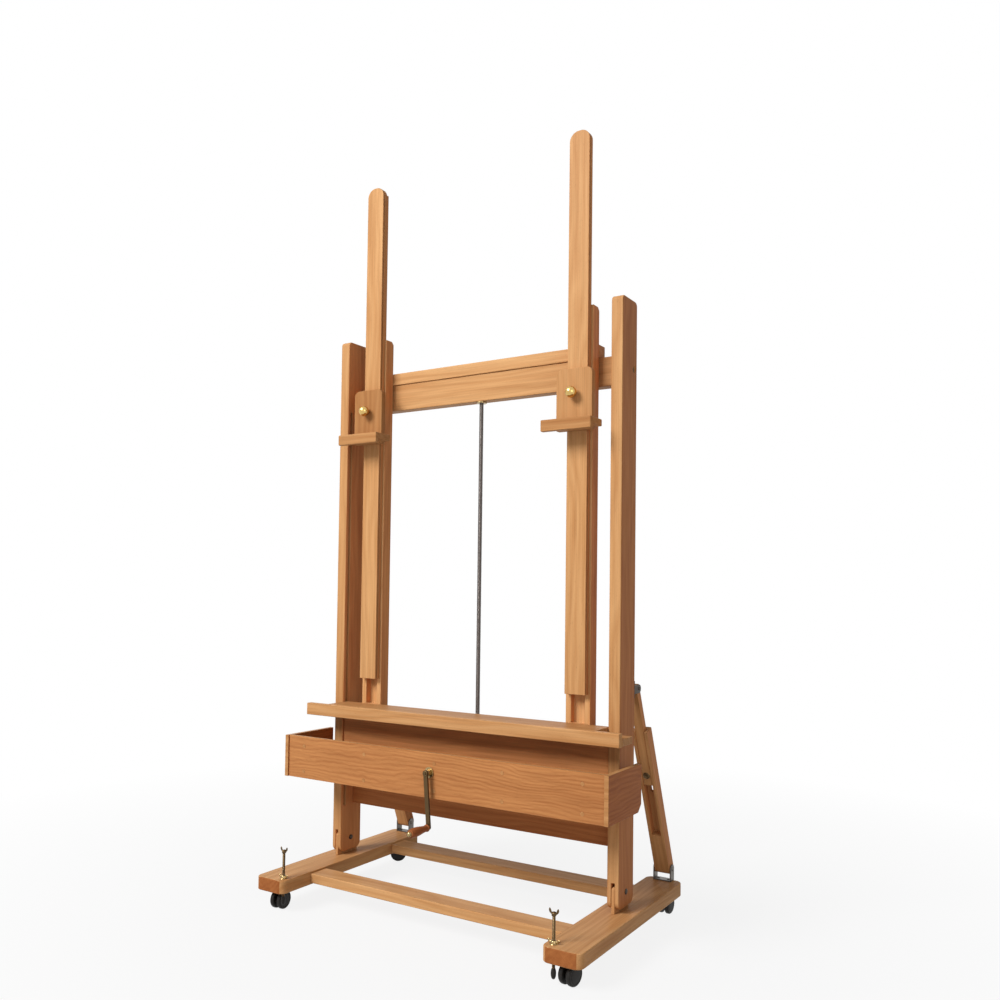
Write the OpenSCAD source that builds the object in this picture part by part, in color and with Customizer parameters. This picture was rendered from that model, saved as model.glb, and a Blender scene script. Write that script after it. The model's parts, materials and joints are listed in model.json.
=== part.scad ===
// Double-mast studio easel on casters, with a crank-driven shelf and tray.
// Millimetres, Z up, front towards -Y. The origin lies on the floor, in the
// middle of the easel's footprint.

/* [Base] */
// Length of each runner, front to back
runner_len = 607; // [560:1:680]
// Width of each runner
runner_w = 103; // [96:1:120]
// Thickness of each runner
runner_t = 36; // [32:1:44]
// Corner radius of a runner, seen from above
runner_r = 20; // [6:1:40]
// Distance between the two runners
base_gap = 806; // [760:1:880]
// Thickness of the front and rear rails
rail_t = 26; // [18:1:30]
// Width of the front rail
front_rail_w = 62; // [40:1:80]
// Width of the rear rail
rear_rail_w = 66; // [40:1:80]
// Distance from the runners' front ends to the front rail
front_rail_set = 108; // [90:1:130]
// Distance from the runners' front ends to the rear rail
rear_rail_set = 459; // [440:1:480]

/* [Posts] */
// Distance from the runners' front ends to the posts' front faces
post_set = 267; // [250:1:285]
// Width of a post, seen from the front
post_w = 32; // [30:1:40]
// Depth of a post, seen from the side
post_d = 88; // [84:1:96]
// Height of the posts' tops above the floor
post_top = 1637; // [1590:1:1690]
// Gap between a runner and the bottom of its post
post_gap = 10; // [7:1:14]
// Radius of the posts' corners, seen from the side
post_r = 12; // [4:1:20]
// Corner radius of the posts' feet
post_foot_r = 20; // [12:1:24]
// Height of the tilt pivot above the runners
pivot_up = 47; // [44:1:52]
// Diameter of the tilt pivot bolts
pivot_d = 10; // [8:0.5:12]
// Thickness of the tongue that each post stands on
tongue_t = 8.4; // [6:0.1:12]
// Width of the guide groove inside each post
groove_w = 8; // [6:0.1:10]
// Depth of the guide groove inside each post
groove_depth = 9; // [6:0.5:12]
// Distance from a post's front face to its guide groove
groove_set = 11; // [9:0.5:13]
// Height of the groove's lower end above the floor
groove_z = 239; // [190:1:290]

/* [Crossbar and lower board] */
// Height of the crossbar's underside above the floor
bar_z = 1421; // [1410:1:1434]
// Height of the crossbar itself
bar_h = 77; // [70:1:90]
// Thickness of the crossbar
bar_t = 33; // [28:1:33]
// Distance from the posts' front faces to the crossbar
bar_set = 55; // [54:0.5:58]
// Height of the lower board's underside above the floor
low_z = 241; // [220:1:251]
// Height of the lower board itself
low_h = 78; // [60:1:85]
// Thickness of the lower board
low_t = 30; // [20:1:34]
// Distance from the posts' front faces to the lower board
low_set = 50; // [40:1:54]
// Thickness of the lower board's tenons
tenon_t = 14; // [10:1:18]
// Length of the lower board's tenons
tenon_len = 10; // [6:1:14]
// Diameter of the crossbar bolts
bolt_d = 8; // [6:0.5:10]

/* [Shelf] */
// Height of the shelf's top above the floor, with the carriage down
shelf_z = 549; // [540:1:569]
// Length of the shelf's front lip
lip_len = 1014; // [980:1:1040]
// Thickness of the front lip
lip_t = 18; // [12:1:24]
// Height of the front lip
lip_h = 34; // [30:1:40]
// Distance that the lip's front face stands ahead of the posts
lip_out = 81; // [70:1:100]
// Thickness of the lower shelf board
shelf_t = 18; // [12:1:18]
// Thickness of the upper shelf board
canvas_t = 15; // [12:1:18]

/* [Tray] */
// Gap between a post and the tray's end beside it
end_gap = 33.5; // [28:0.5:45]
// Height of the tray's sides
tray_h = 117; // [100:1:130]
// Height of the tray's underside above the floor, with the carriage down
tray_z = 346.5; // [340:0.5:354]
// Distance that the tray's front face stands ahead of the posts
tray_out = 151; // [140:1:170]
// Distance that the tray's ends reach behind the posts' front faces
tray_back = 31; // [20:1:40]
// Thickness of the tray's sides and dividers
tray_wall = 12; // [9:0.5:13]
// Distance that the tray's ends stand ahead of its front
end_proud = 4; // [1:0.5:8]
// Thickness of the tray's bottom
tray_floor = 9; // [6:0.5:12]
// Chamfer at the lower rear corner of each tray end
end_chamfer = 18; // [6:1:30]
// Distance from the middle to the inner dividers
divider_x = 223; // [200:1:250]
// Distance from the middle to the outer dividers
divider_x2 = 446; // [420:1:470]
// Distance from the crank shaft to the middle divider
divider_mid = 14; // [13:0.5:20]
// Distance from the tray's top down to the dividers' front ends
divider_low = 4; // [2:1:12]
// Fall of the dividers' tops from front to back
divider_fall = 36; // [20:1:48]
// Diameter of the dowels that show in the tray's front
dowel_d = 10; // [6:0.5:11]
// Length of these dowels
dowel_len = 34; // [24:1:40]
// Thickness of the back board
back_t = 20; // [16:1:22]
// Distance from the posts' front faces to the back board
back_set = 5; // [4:0.5:7]

/* [Masts and planks] */
// Distance from the middle to the centre of each mast
mast_x = 344; // [300:1:370]
// Width of each mast
mast_w = 71; // [68:1:76]
// Depth of each mast
mast_d = 34; // [32:1:37]
// Height of the masts' tops above the floor, with the carriage down
mast_top = 1629; // [1610:1:1690]
// Thickness of the mast behind its channel
mast_back = 15; // [10:0.5:16]
// Width of the mast's channel
channel_w = 39; // [34:0.5:42]
// Length of each plank
plank_len = 1463; // [1400:1:1500]
// Width of each plank
plank_w = 59; // [54:1:64]
// Thickness of the plank in front of its mast
plank_t = 18.7; // [16:0.1:20]
// Height of the planks' lower ends above the shelf
plank_up = 75; // [73:1:100]
// Rounding of the plank's top corners
plank_r = 26; // [12:1:27]
// Distance from a plank's front face to its side grooves
side_groove_set = 5; // [4:0.5:6]
// Width of the side grooves
side_groove_w = 4; // [3:0.2:5]
// Depth of the side grooves
side_groove_depth = 5; // [3:0.5:6]

/* [Canvas holders] */
// Width of a holder's plate
holder_w = 104; // [92:1:120]
// Height of a holder's plate
holder_h = 136; // [120:1:160]
// Thickness of a holder's plate
holder_t = 18; // [14:1:22]
// Height of the right holder's ledge above the floor
holder_z = 1293; // [1280:1:1309]
// Height of the left holder above the right one
holder_rise = 15; // [0:1:60]
// Thickness of the ledge
ledge_t = 30; // [24:1:36]
// Width of the ledge
ledge_w = 144; // [120:1:150]
// Thickness of the lip that hangs in front of the canvas
ledge_lip = 14; // [8:1:24]
// Depth of the rebate behind this lip
ledge_rebate = 12; // [6:1:18]
// Distance that the ledge reaches ahead of the plank
ledge_out = 64.5; // [50:0.5:80]
// Diameter of the holders' ball knobs
ball_d = 30; // [22:1:34]
// Distance from the plank to the middle of the ball
ball_out = 36; // [34:1:60]

/* [Lift drive] */
// Travel of the carriage
lift = 870; // [800:1:870]
// Distance from the posts' front faces to the lead screw
screw_set = 69; // [68:0.5:71]
// Diameter of the lead screw
screw_d = 12; // [10:0.5:14]
// Height of the crank shaft above the floor, with the carriage down
crank_z = 413; // [409:1:417]
// Diameter of the crank shaft
crank_d = 12; // [10:0.5:14]
// Length of the crank arm between its two axes
crank_len = 137; // [100:1:150]
// Angle of the crank arm from straight down
crank_angle = 5; // [-20:1:20]
// Width of the crank arm
crank_w = 16; // [16:1:24]
// Thickness of the crank arm
crank_t = 6; // [4:0.5:8]
// Length of the crank's wooden grip
grip_len = 74; // [60:1:90]
// Diameter of the crank's grip
grip_d = 24; // [16:1:26]
// Pitch radius of the bevel gears
bevel_r = 18; // [15:0.5:20]
// Width of the gear housing
housing_w = 176; // [140:1:200]
// Depth of the gear housing
housing_d = 75; // [72:1:80]
// Wall of the gear housing
housing_wall = 10; // [8:0.5:11]
// Distance that the housing reaches below the tray
housing_drop = 12.5; // [8:0.5:14]
// Height of the moving rail on the masts
top_rail_h = 34; // [28:1:38]

/* [Braces] */
// Width of the lower brace, seen from the back
brace_w = 44; // [42:1:48]
// Thickness of the lower brace
brace_t = 32; // [30:1:36]
// Length of the lower brace above its pivot
brace_len = 431; // [420:1:440]
// Width of the upper brace
slider_w = 25; // [22:1:26]
// Thickness of the upper brace
slider_t = 19; // [17:1:20]
// Length of the upper brace below its pivot
slider_len = 284; // [270:1:290]
// Distance from the runners' rear ends to the lower brace pivot
foot_set = 13; // [12:1:18]
// Height of the lower brace pivot above the runner
foot_up = 33; // [32:1:36]
// Distance from a post's rear face to the upper brace pivot
head_out = 30; // [28:1:34]
// Height of the upper brace pivot above the floor
head_z = 637; // [630:1:645]
// Diameter of the lower brace pin
foot_pin_d = 8; // [6:0.5:10]
// Diameter of the upper brace pin
head_pin_d = 6; // [5:0.5:7]
// Play around the upper brace pin, which takes up the linkage's error
head_play = 3.2; // [3:0.1:3.6]

/* [Casters and levellers] */
// Diameter of the caster wheels
wheel_d = 50; // [46:1:52]
// Width of each of the two wheels of a caster
wheel_w = 13; // [10:0.5:13.5]
// Distance from the swivel axis to the wheels' axle
trail = 14; // [10:1:16]
// Gap between the wheels' tops and the runners
caster_gap = 6; // [5:0.5:12]
// Distance from the runners' front ends to the front swivels
front_swivel_set = 61; // [60:0.5:70]
// Distance from the runners' rear ends to the rear swivels
rear_swivel_set = 19.5; // [18:0.5:40]
// Distance from the posts' middle to the swivels, outwards
swivel_out = 3; // [3:0.5:14]
// How far the front left caster is turned inwards at rest, from straight back
front_left_turn = 173; // [0:1:180]
// How far the front right caster is turned inwards at rest, from straight back
front_right_turn = 170; // [0:1:180]
// How far the rear left caster is turned outwards at rest; the rear right one trails straight back
rear_left_turn = 128; // [40:1:140]
// Distance from the runners' front ends to the levelling screws
leveller_set = 25.5; // [24:0.5:28]
// Distance from the posts' middle to the levelling screws, inwards
leveller_in = 30.5; // [28:0.5:34]
// Diameter of the levelling screws
leveller_d = 8; // [6:0.5:10]
// Height of the right levelling foot above the floor
leveller_z = 14; // [10:1:15]
// How much further up the left levelling screw is turned
leveller_rise = 6; // [0:0.5:8]

/* [Hidden] */
// Gap between wooden pieces that slide on each other
slide_gap = 0.3;
// Radial gap of a shaft or pin in its bore
fit = 0.05;
// Gap between pieces that pass each other
clear = 1;
fine = 64;

slot_rise = 28;
lock_set = 30;

// Places that follow from the sizes above
depth_all = runner_len - rear_swivel_set + trail + wheel_d / 2;
y_front = -depth_all / 2;
fy = y_front + post_set;
post_x = (base_gap + runner_w) / 2;
runner_z = wheel_d + caster_gap;
runner_top = runner_z + runner_t;
post_z = runner_top + post_gap;
pivot_y = post_d / 2;
pivot_z = runner_top + pivot_up;
post_in = post_x - post_w / 2;
slot_w = tongue_t + 2 * slide_gap;
slot_top = pivot_z + slot_rise;
bar_top = bar_z + bar_h;
bar_mid = bar_z + bar_h / 2;
plate_y = lip_out - lip_t;
shelf_low = shelf_z - canvas_t - shelf_t;
mast_y = back_set + 12;
mast_rear = mast_y + mast_d;
groove_mid = groove_set + groove_w / 2;
tray_top = tray_z + tray_h;
back_h = shelf_low - tray_z;
back_half = post_in - clear;
tongue_board_t = groove_w - 2 * slide_gap;
wall_half = post_x + post_w / 2 + end_gap;
tray_half = wall_half + tray_wall;
notch_gap = 4;
chan_z = shelf_low;
plank_z = shelf_z + plank_up;
plank_front = mast_y - slide_gap - plank_t;
channel_d = mast_d - mast_back;
housing_z = tray_z - housing_drop;
housing_y = back_set + back_t;
rail_z = bar_top + slide_gap;
rail_top = rail_z + top_rail_h;
foot_y = runner_len - post_set - foot_set;
foot_z = runner_top + foot_up;
head_y = post_d + head_out;
slider_off = 2.15;
foot_dy = foot_y - head_y;
foot_dz = head_z - foot_z;
foot_span = sqrt(foot_dy * foot_dy + foot_dz * foot_dz);
brace_angle = atan2(foot_dy, foot_dz) - asin(slider_off / foot_span);
slider_reach = sqrt(foot_span * foot_span - slider_off * slider_off);
groove_floor = slider_off - slider_t / 2 - slide_gap;
brace_back = -(brace_t / 2 + 3);
brace_front = brace_back + brace_t;
brace_groove_w = slider_w + 2 * slide_gap + 0.4;
lock_along = slider_reach - slider_len + lock_set;
lock_d = 8;
lock_knob_d = 28;
lock_slot = 62;
swivel_x = post_x + swivel_out;
wheel_gap = 9;
leveller_x = post_x - leveller_in;

// Small hardware
stem_d = 11;
swivel_d = 30;
stem_len = 26;
insert_d = leveller_d + 5;
ear_t = 3.5;
ear_r = 12;
foot_in = brace_w + 1;
tenon_y = low_set + (low_t - tenon_t) / 2;
nut_d = screw_d + 14;
nut_h = 46;
head_t = 4;
head_in = slider_w + 1;
head_ear = 2.5;
head_ear_r = 11;
bush_d = crank_d + 8;
divider_places = [-divider_x2, -divider_x, divider_mid, divider_x, divider_x2];
dowel_low = 20;
dowel_drop = 27;
dowel_places = [tray_z + dowel_low, tray_top - dowel_drop];
knob_bolt_d = 8;
knob_d = 34;
knob_h = 18;
holder_r = 16;
bolt_reach = 44;
bolt_sink = 7;
tongue_inset = 2;
tongue_rise = 18;
tongue_r = 8;
mast_knob_z = rail_top + (mast_top - rail_top) / 2;
arm_y = tray_out + 3 + 16;
bevel_face = 8;
bevel_hub = 6;
lid_t = 14;
housing_top = crank_z + bevel_r + bevel_hub + clear + lid_t;
pin_d = 6;
cheek_t = 5.5;
ball_stem_d = 8;
groove_start = 112;
slot_half = lock_d / 2 + 0.4;
head_eye = slider_w;
axle_d = 8;
foot_d = 12.5;
foot_h = 25;
foot_socket = 12;

// ---- shared shapes -------------------------------------------------------

// A box given by its two opposite corners
module slab(x0, x1, y0, y1, z0, z1) {
  translate([x0, y0, z0]) cube([x1 - x0, y1 - y0, z1 - z0]);
}

// A rectangle whose corners are rounded, each by its own radius
module round_rect(w, h, r) {
  union() {
    translate([r, 0]) square([w - 2 * r, h]);
    translate([0, r]) square([w, h - 2 * r]);
    for (x = [r, w - r]) for (y = [r, h - r]) translate([x, y]) circle(r = r, $fn = fine);
  }
}

// Places its children in the posts' own frame: y counts from their front faces
module at_posts() {
  translate([0, fy, 0]) children();
}

// The left side is the mirror image of the right side
module on_side(s) {
  if (s < 0) mirror([1, 0, 0]) children();
  else children();
}

// A cylinder along Y, from y0 to y1
module rod_y(x, z, y0, y1, d) {
  translate([x, y0, z]) rotate([-90, 0, 0]) cylinder(d = d, h = y1 - y0, $fn = fine);
}

// A cylinder along X, from x0 to x1
module rod_x(y, z, x0, x1, d) {
  translate([x0, y, z]) rotate([0, 90, 0]) cylinder(d = d, h = x1 - x0, $fn = fine);
}

// A cylinder along Z, from z0 to z1
module rod_z(x, y, z0, z1, d) {
  translate([x, y, z0]) cylinder(d = d, h = z1 - z0, $fn = fine);
}

// A profile in (y, z), drawn out along X
module profile_x(x0, x1) {
  translate([x0, 0, 0]) rotate([90, 0, 90]) linear_extrude(x1 - x0) children();
}

// ---- base ----------------------------------------------------------------

module runner(s) {
  stem_y = y_front + front_swivel_set;
  stem_y2 = y_front + runner_len - rear_swivel_set;
  on_side(s) difference() {
    translate([base_gap / 2, y_front, runner_z]) linear_extrude(runner_t)
      round_rect(runner_w, runner_len, runner_r);
    for (y = [stem_y, stem_y2])
      rod_z(swivel_x, y, runner_z - 1, runner_z + stem_len + 2, stem_d + 2 * fit);
    rod_z(leveller_x, y_front + leveller_set, runner_z - 1, runner_top + 1, insert_d);
  }
}

module base_rail(set, w) {
  half = base_gap / 2;
  z0 = runner_z + (runner_t - rail_t) / 2;
  slab(-half, half, y_front + set, y_front + set + w, z0, z0 + rail_t);
}

module runner_left() { color("#c8853f") runner(-1); }
module runner_right() { color("#c8853f") runner(1); }
module cross_rails() {
  color("#cd8d48") {
    base_rail(front_rail_set, front_rail_w);
    base_rail(rear_rail_set, rear_rail_w);
  }
}

// The tongue stands on the runner, and the post straddles it at the pivot
module tongue(s) {
  w = post_d - 2 * tongue_inset;
  h = pivot_up + tongue_rise;
  r = tongue_r;
  on_side(s) at_posts() difference() {
    translate([0, tongue_inset, 0]) profile_x(post_x - tongue_t / 2, post_x + tongue_t / 2)
      translate([0, runner_top]) union() {
        square([w, h - r]);
        translate([r, 0]) square([w - 2 * r, h]);
        for (y = [r, w - r]) translate([y, h - r]) circle(r = r, $fn = fine);
      }
    rod_x(pivot_y, pivot_z, post_x - tongue_t, post_x + tongue_t, pivot_d + 2 * fit);
  }
}

module post_tongues() {
  color("#d6a468") {
    tongue(-1);
    tongue(1);
  }
}

// A U-shaped bracket on the runner, with the pin of the lower brace
module foot_bracket(s) {
  half = foot_in / 2;
  on_side(s) at_posts() {
    difference() {
      union() {
        slab(post_x - half - ear_t, post_x + half + ear_t, foot_y - ear_r,
             foot_y + ear_r, runner_top, runner_top + 3);
        for (x = [post_x - half - ear_t, post_x + half]) profile_x(x, x + ear_t) {
          translate([foot_y - ear_r, runner_top]) square([2 * ear_r, foot_up]);
          translate([foot_y, foot_z]) circle(r = ear_r, $fn = fine);
        }
      }
      rod_x(foot_y, foot_z, post_x - half - 9, post_x + half + 9, foot_pin_d + 2 * fit);
    }
    for (k = [-1, 1]) translate([post_x + k * 14, foot_y, runner_top + 3])
      cylinder(d1 = 9, d2 = 5, h = 1.6, $fn = 32);
    rod_x(foot_y, foot_z, post_x - half - ear_t, post_x + half + ear_t, foot_pin_d);
    for (k = [-1, 1]) translate([post_x + k * (half + ear_t), foot_y, foot_z])
      rotate([0, k * 90, 0]) cylinder(d1 = foot_pin_d + 5, d2 = foot_pin_d + 1, h = 3, $fn = 32);
  }
}

module foot_brackets() {
  color("#a9abad") {
    foot_bracket(-1);
    foot_bracket(1);
  }
}

// A threaded bush in the runner with a winged lock nut on top of it
module leveller_bush(s) {
  y = y_front + leveller_set;
  on_side(s) difference() {
    union() {
      rod_z(leveller_x, y, runner_z + 6, runner_top, insert_d - 2 * fit);
      rod_z(leveller_x, y, runner_top, runner_top + 2, insert_d + 9);
      rod_z(leveller_x, y, runner_top + 2, runner_top + 8, insert_d + 1);
      for (k = [-1, 1]) translate([leveller_x + k * 12, y, runner_top + 2])
        translate([-5, -1.5, 0]) cube([10, 3, 9]);
    }
    rod_z(leveller_x, y, runner_z, runner_top + 12, leveller_d + 2 * fit);
  }
}

module leveller_bushes() {
  color("#c9a44c") {
    leveller_bush(-1);
    leveller_bush(1);
  }
}

// ---- fixed frame ---------------------------------------------------------

// The post's side view: small corners at the top, larger ones at the foot
module post_profile() {
  h = post_top - post_z;
  union() {
    translate([0, post_foot_r]) square([post_d, h - post_foot_r - post_r]);
    translate([post_foot_r, 0]) square([post_d - 2 * post_foot_r, h]);
    translate([post_r, h - 2 * post_r]) square([post_d - 2 * post_r, 2 * post_r]);
    for (y = [post_foot_r, post_d - post_foot_r]) translate([y, post_foot_r])
      circle(r = post_foot_r, $fn = fine);
    for (y = [post_r, post_d - post_r]) translate([y, h - post_r]) circle(r = post_r, $fn = fine);
  }
}

module post(s) {
  on_side(s) at_posts() difference() {
    profile_x(post_in, post_in + post_w)
      translate([0, post_z]) post_profile();
    slab(post_x - slot_w / 2, post_x + slot_w / 2, -1, post_d + 1, post_z - 1, slot_top);
    slab(post_in - 1, post_in + groove_depth, groove_set, groove_set + groove_w,
         groove_z, bar_z);
    rod_x(pivot_y, pivot_z, post_in - 1, post_in + post_w + 1, pivot_d + 2 * fit);
    bolt_y = bar_set + bar_t / 2;
    rod_x(bolt_y, bar_mid, post_in - 1, post_in + post_w + 1, bolt_d + 2 * fit);
    rod_x(bolt_y, bar_mid, post_in + post_w - bolt_sink, post_in + post_w + 1, bolt_d + 8);
    slab(post_in - 1, post_in + tenon_len + slide_gap, tenon_y - slide_gap,
         tenon_y + tenon_t + slide_gap, low_z + 9 - slide_gap, low_z + low_h - 9 + slide_gap);
  }
}

module post_left() { color("#c98545") post(-1); }
module post_right() { color("#c98545") post(1); }

module crossbar() {
  color("#cf9253") at_posts() difference() {
    slab(-post_in, post_in, bar_set, bar_set + bar_t, bar_z, bar_top);
    rod_z(0, screw_set, bar_z - 1, bar_z + nut_h + 1, nut_d + 2 * fit);
    rod_z(0, screw_set, bar_z, bar_top + 1, screw_d + 4);
    for (s = [-1, 1]) on_side(s)
      rod_x(bar_set + bar_t / 2, bar_mid, post_in - bolt_reach - clear, post_in + 1,
            bolt_d + 2 * fit);
  }
}

module lower_board() {
  color("#c98545") at_posts() {
    slab(-post_in, post_in, low_set, low_set + low_t, low_z, low_z + low_h);
    for (s = [-1, 1]) on_side(s)
      slab(post_in - 1, post_in + tenon_len, tenon_y, tenon_y + tenon_t, low_z + 9,
           low_z + low_h - 9);
  }
}

// The fixed nut that the lead screw climbs through
module screw_nut() {
  color("#b98f3e") at_posts() difference() {
    union() {
      rod_z(0, screw_set, bar_z, bar_z + nut_h, nut_d);
      rod_z(0, screw_set, bar_z - 4, bar_z, nut_d + 4);
    }
    rod_z(0, screw_set, bar_z - 5, bar_z + nut_h + 1, screw_d + 2 * fit);
  }
}

module pivot_bolt(s) {
  on_side(s) at_posts() {
    rod_x(pivot_y, pivot_z, post_in - 10, post_in + post_w, pivot_d);
    translate([post_in + post_w, pivot_y, pivot_z]) rotate([0, 90, 0])
      cylinder(d1 = pivot_d + 14, d2 = pivot_d + 6, h = head_t, $fn = fine);
    translate([post_in, pivot_y, pivot_z]) rotate([0, -90, 0])
      cylinder(d = pivot_d + 9, h = 8, $fn = 6);
  }
}

// The bolt sits in a counterbore in the post and reaches into the crossbar
module crossbar_bolt(s) {
  y = bar_set + bar_t / 2;
  on_side(s) at_posts() {
    rod_x(y, bar_mid, post_in - bolt_reach, post_in + post_w - bolt_sink, bolt_d);
    rod_x(y, bar_mid, post_in + post_w - bolt_sink, post_in + post_w - 2, bolt_d + 5);
  }
}

module frame_bolts() {
  color("#77797c") for (s = [-1, 1]) {
    pivot_bolt(s);
    crossbar_bolt(s);
  }
}

// A U-shaped bracket behind each post, with the pin of the upper brace
module head_bracket(s) {
  half = head_in / 2;
  on_side(s) at_posts() {
    difference() {
      union() {
        slab(post_x - half - head_ear, post_x + half + head_ear, post_d, post_d + 3,
             head_z - 22, head_z + 22);
        for (x = [post_x - half - head_ear, post_x + half]) profile_x(x, x + head_ear) {
          translate([post_d, head_z - head_ear_r]) square([head_out, 2 * head_ear_r]);
          translate([head_y, head_z]) circle(r = head_ear_r, $fn = fine);
        }
      }
      rod_x(head_y, head_z, post_x - half - 9, post_x + half + 9, head_pin_d + 2 * fit);
    }
    rod_x(head_y, head_z, post_x - half - head_ear, post_x + half + head_ear, head_pin_d);
    for (k = [-1, 1]) translate([post_x + k * (half + head_ear), head_y, head_z])
      rotate([0, k * 90, 0]) cylinder(d1 = head_pin_d + 5, d2 = head_pin_d + 1, h = 2.5, $fn = 32);
    for (k = [-1, 1]) translate([post_x, post_d + 3, head_z + k * 17])
      rotate([-90, 0, 0]) cylinder(d1 = 8, d2 = 4, h = 1.5, $fn = 32);
  }
}

module head_brackets() {
  color("#6d7075") {
    head_bracket(-1);
    head_bracket(1);
  }
}

// ---- carriage: shelf, back board and tray --------------------------------

module shelf_lip() {
  color("#dba765") at_posts()
    slab(-lip_len / 2, lip_len / 2, -lip_out, -plate_y, shelf_z - lip_h, shelf_z);
}

module shelf_board() {
  color("#c98545") at_posts() {
    slab(-lip_len / 2, lip_len / 2, -plate_y, -notch_gap, shelf_low, shelf_low + shelf_t);
    slab(-back_half, back_half, -notch_gap - 1, mast_y, shelf_low, shelf_low + shelf_t);
  }
}

module canvas_shelf() {
  color("#d29550") at_posts()
    slab(-back_half, back_half, -plate_y, mast_y, shelf_z - canvas_t, shelf_z);
}

module back_board() {
  y0 = groove_mid - tongue_board_t / 2;
  color("#b97a42") at_posts() difference() {
    union() {
      slab(-back_half, back_half, back_set, back_set + back_t, tray_z, shelf_low);
      for (s = [-1, 1]) on_side(s)
        slab(back_half - 1, post_in + groove_depth - clear, y0, y0 + tongue_board_t,
             tray_z, shelf_low);
    }
    rod_y(0, crank_z, back_set - 1, back_set + back_t + 1, crank_d + 8);
  }
}

module tray_front() {
  color("#b4703e") at_posts() difference() {
    slab(-wall_half, wall_half, -tray_out, -tray_out + tray_wall, tray_z, tray_top);
    rod_y(0, crank_z, -tray_out - 1, -tray_out + tray_wall + 1, bush_d);
    for (x = divider_places) for (z = dowel_places)
      rod_y(x, z, -tray_out - 1, -tray_out + tray_wall + 1, dowel_d + 2 * fit);
  }
}

module tray_ends() {
  color("#c07b45") for (s = [-1, 1]) on_side(s) at_posts()
    profile_x(wall_half, tray_half) polygon([
      [-tray_out - end_proud, tray_z], [tray_back - end_chamfer, tray_z],
      [tray_back, tray_z + end_chamfer], [tray_back, tray_top],
      [-tray_out - end_proud, tray_top]
    ]);
}

module tray_floor_panel() {
  color("#c07b45") at_posts() {
    slab(-wall_half, wall_half, -tray_out + tray_wall, -notch_gap, tray_z, tray_z + tray_floor);
    slab(-back_half, back_half, -notch_gap - 1, back_set, tray_z, tray_z + tray_floor);
  }
}

module tray_dividers() {
  y0 = -tray_out + tray_wall;
  color("#c07b45") at_posts() difference() {
    for (x = divider_places) {
      y1 = abs(x) + tray_wall / 2 > back_half ? -notch_gap : back_set;
      z0 = tray_z + tray_floor;
      z1 = tray_top - divider_low;
      profile_x(x - tray_wall / 2, x + tray_wall / 2) polygon([
        [y0, z0], [y1, z0], [y1, z1 - divider_fall * (y1 - y0) / (back_set - y0)], [y0, z1]
      ]);
    }
    for (x = divider_places) for (z = dowel_places)
      rod_y(x, z, y0 - 1, -tray_out + dowel_len + 1, dowel_d + 2 * fit);
  }
}

module tray_dowels() {
  color("#8c4f26") at_posts() for (x = divider_places) for (z = dowel_places)
    rod_y(x, z, -tray_out - 0.4, -tray_out + dowel_len, dowel_d);
}

// The housing behind the back board carries the bevel gears and the screw
module gear_housing() {
  half = housing_w / 2;
  hr = 14;
  color("#b97a42") at_posts() difference() {
    translate([0, housing_y + housing_d, 0]) rotate([90, 0, 0]) linear_extrude(housing_d) union() {
      translate([-half + hr, housing_z]) square([housing_w - 2 * hr, housing_top - housing_z]);
      translate([-half, housing_z + hr]) square([housing_w, housing_top - housing_z - hr]);
      for (s = [-1, 1]) translate([s * (half - hr), housing_z + hr]) circle(r = hr, $fn = fine);
    }
    slab(-bevel_r - 9, bevel_r + 9, housing_y + housing_wall, housing_y + housing_d - housing_wall,
         crank_z - bevel_r - 8, housing_top - lid_t);
    rod_y(0, crank_z, housing_y - 1, housing_y + housing_wall + 1, bush_d);
    rod_z(0, screw_set, housing_top - lid_t - 1, housing_top + 1, screw_d + 8);
  }
}

// Brass bushes: crank shaft in front board and housing, screw in housing and rail
module shaft_bushes() {
  d = bush_d - 2 * fit;
  e = screw_d + 8 - 2 * fit;
  color("#c9a44c") at_posts() {
    difference() {
      union() {
        rod_y(0, crank_z, -tray_out, -tray_out + tray_wall, d);
        rod_y(0, crank_z, -tray_out - 3, -tray_out, bush_d + 8);
      }
      rod_y(0, crank_z, -tray_out - 4, -tray_out + tray_wall + 1, crank_d + 2 * fit);
    }
    difference() {
      rod_y(0, crank_z, housing_y, housing_y + housing_wall, d);
      rod_y(0, crank_z, housing_y - 1, housing_y + housing_wall + 1, crank_d + 2 * fit);
    }
    difference() {
      rod_z(0, screw_set, housing_top - lid_t, housing_top, e);
      rod_z(0, screw_set, housing_top - lid_t - 1, housing_top + 1, screw_d + 2 * fit);
    }
    difference() {
      rod_z(0, screw_set, rail_z + 2, rail_top, e);
      rod_z(0, screw_set, rail_z, rail_top + 1, screw_d + 2 * fit);
    }
  }
}

// A mast is a channel that the plank's tongue slides in
module mast(s) {
  half = mast_w / 2;
  on_side(s) at_posts() difference() {
    union() {
      slab(mast_x - half, mast_x + half, mast_y, mast_rear, chan_z, mast_top);
      slab(mast_x - half, mast_x + half, housing_y, mast_rear, tray_z + 8, chan_z + 1);
    }
    slab(mast_x - channel_w / 2, mast_x + channel_w / 2, mast_y - 1, mast_y + channel_d,
         shelf_z, mast_top + 1);
    translate([0, mast_rear, mast_top]) rotate([45, 0, 0])
      slab(mast_x - half - 1, mast_x + half + 1, -6, 6, -6, 6);
    rod_y(mast_x, mast_knob_z, mast_y + channel_d - 1, mast_rear + 1, knob_bolt_d + 2 * fit);
  }
}

module mast_left() { color("#b9783c") mast(-1); }
module mast_right() { color("#b9783c") mast(1); }

// The rail joins the masts above the crossbar and carries the screw's top end
module top_rail() {
  half = mast_x + mast_w / 2;
  color("#cf9253") at_posts() difference() {
    slab(-half, half, mast_rear, bar_set + bar_t - 3, rail_z, rail_top);
    rod_z(0, screw_set, rail_z - 1, rail_top + 1, screw_d + 8);
  }
}

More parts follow.
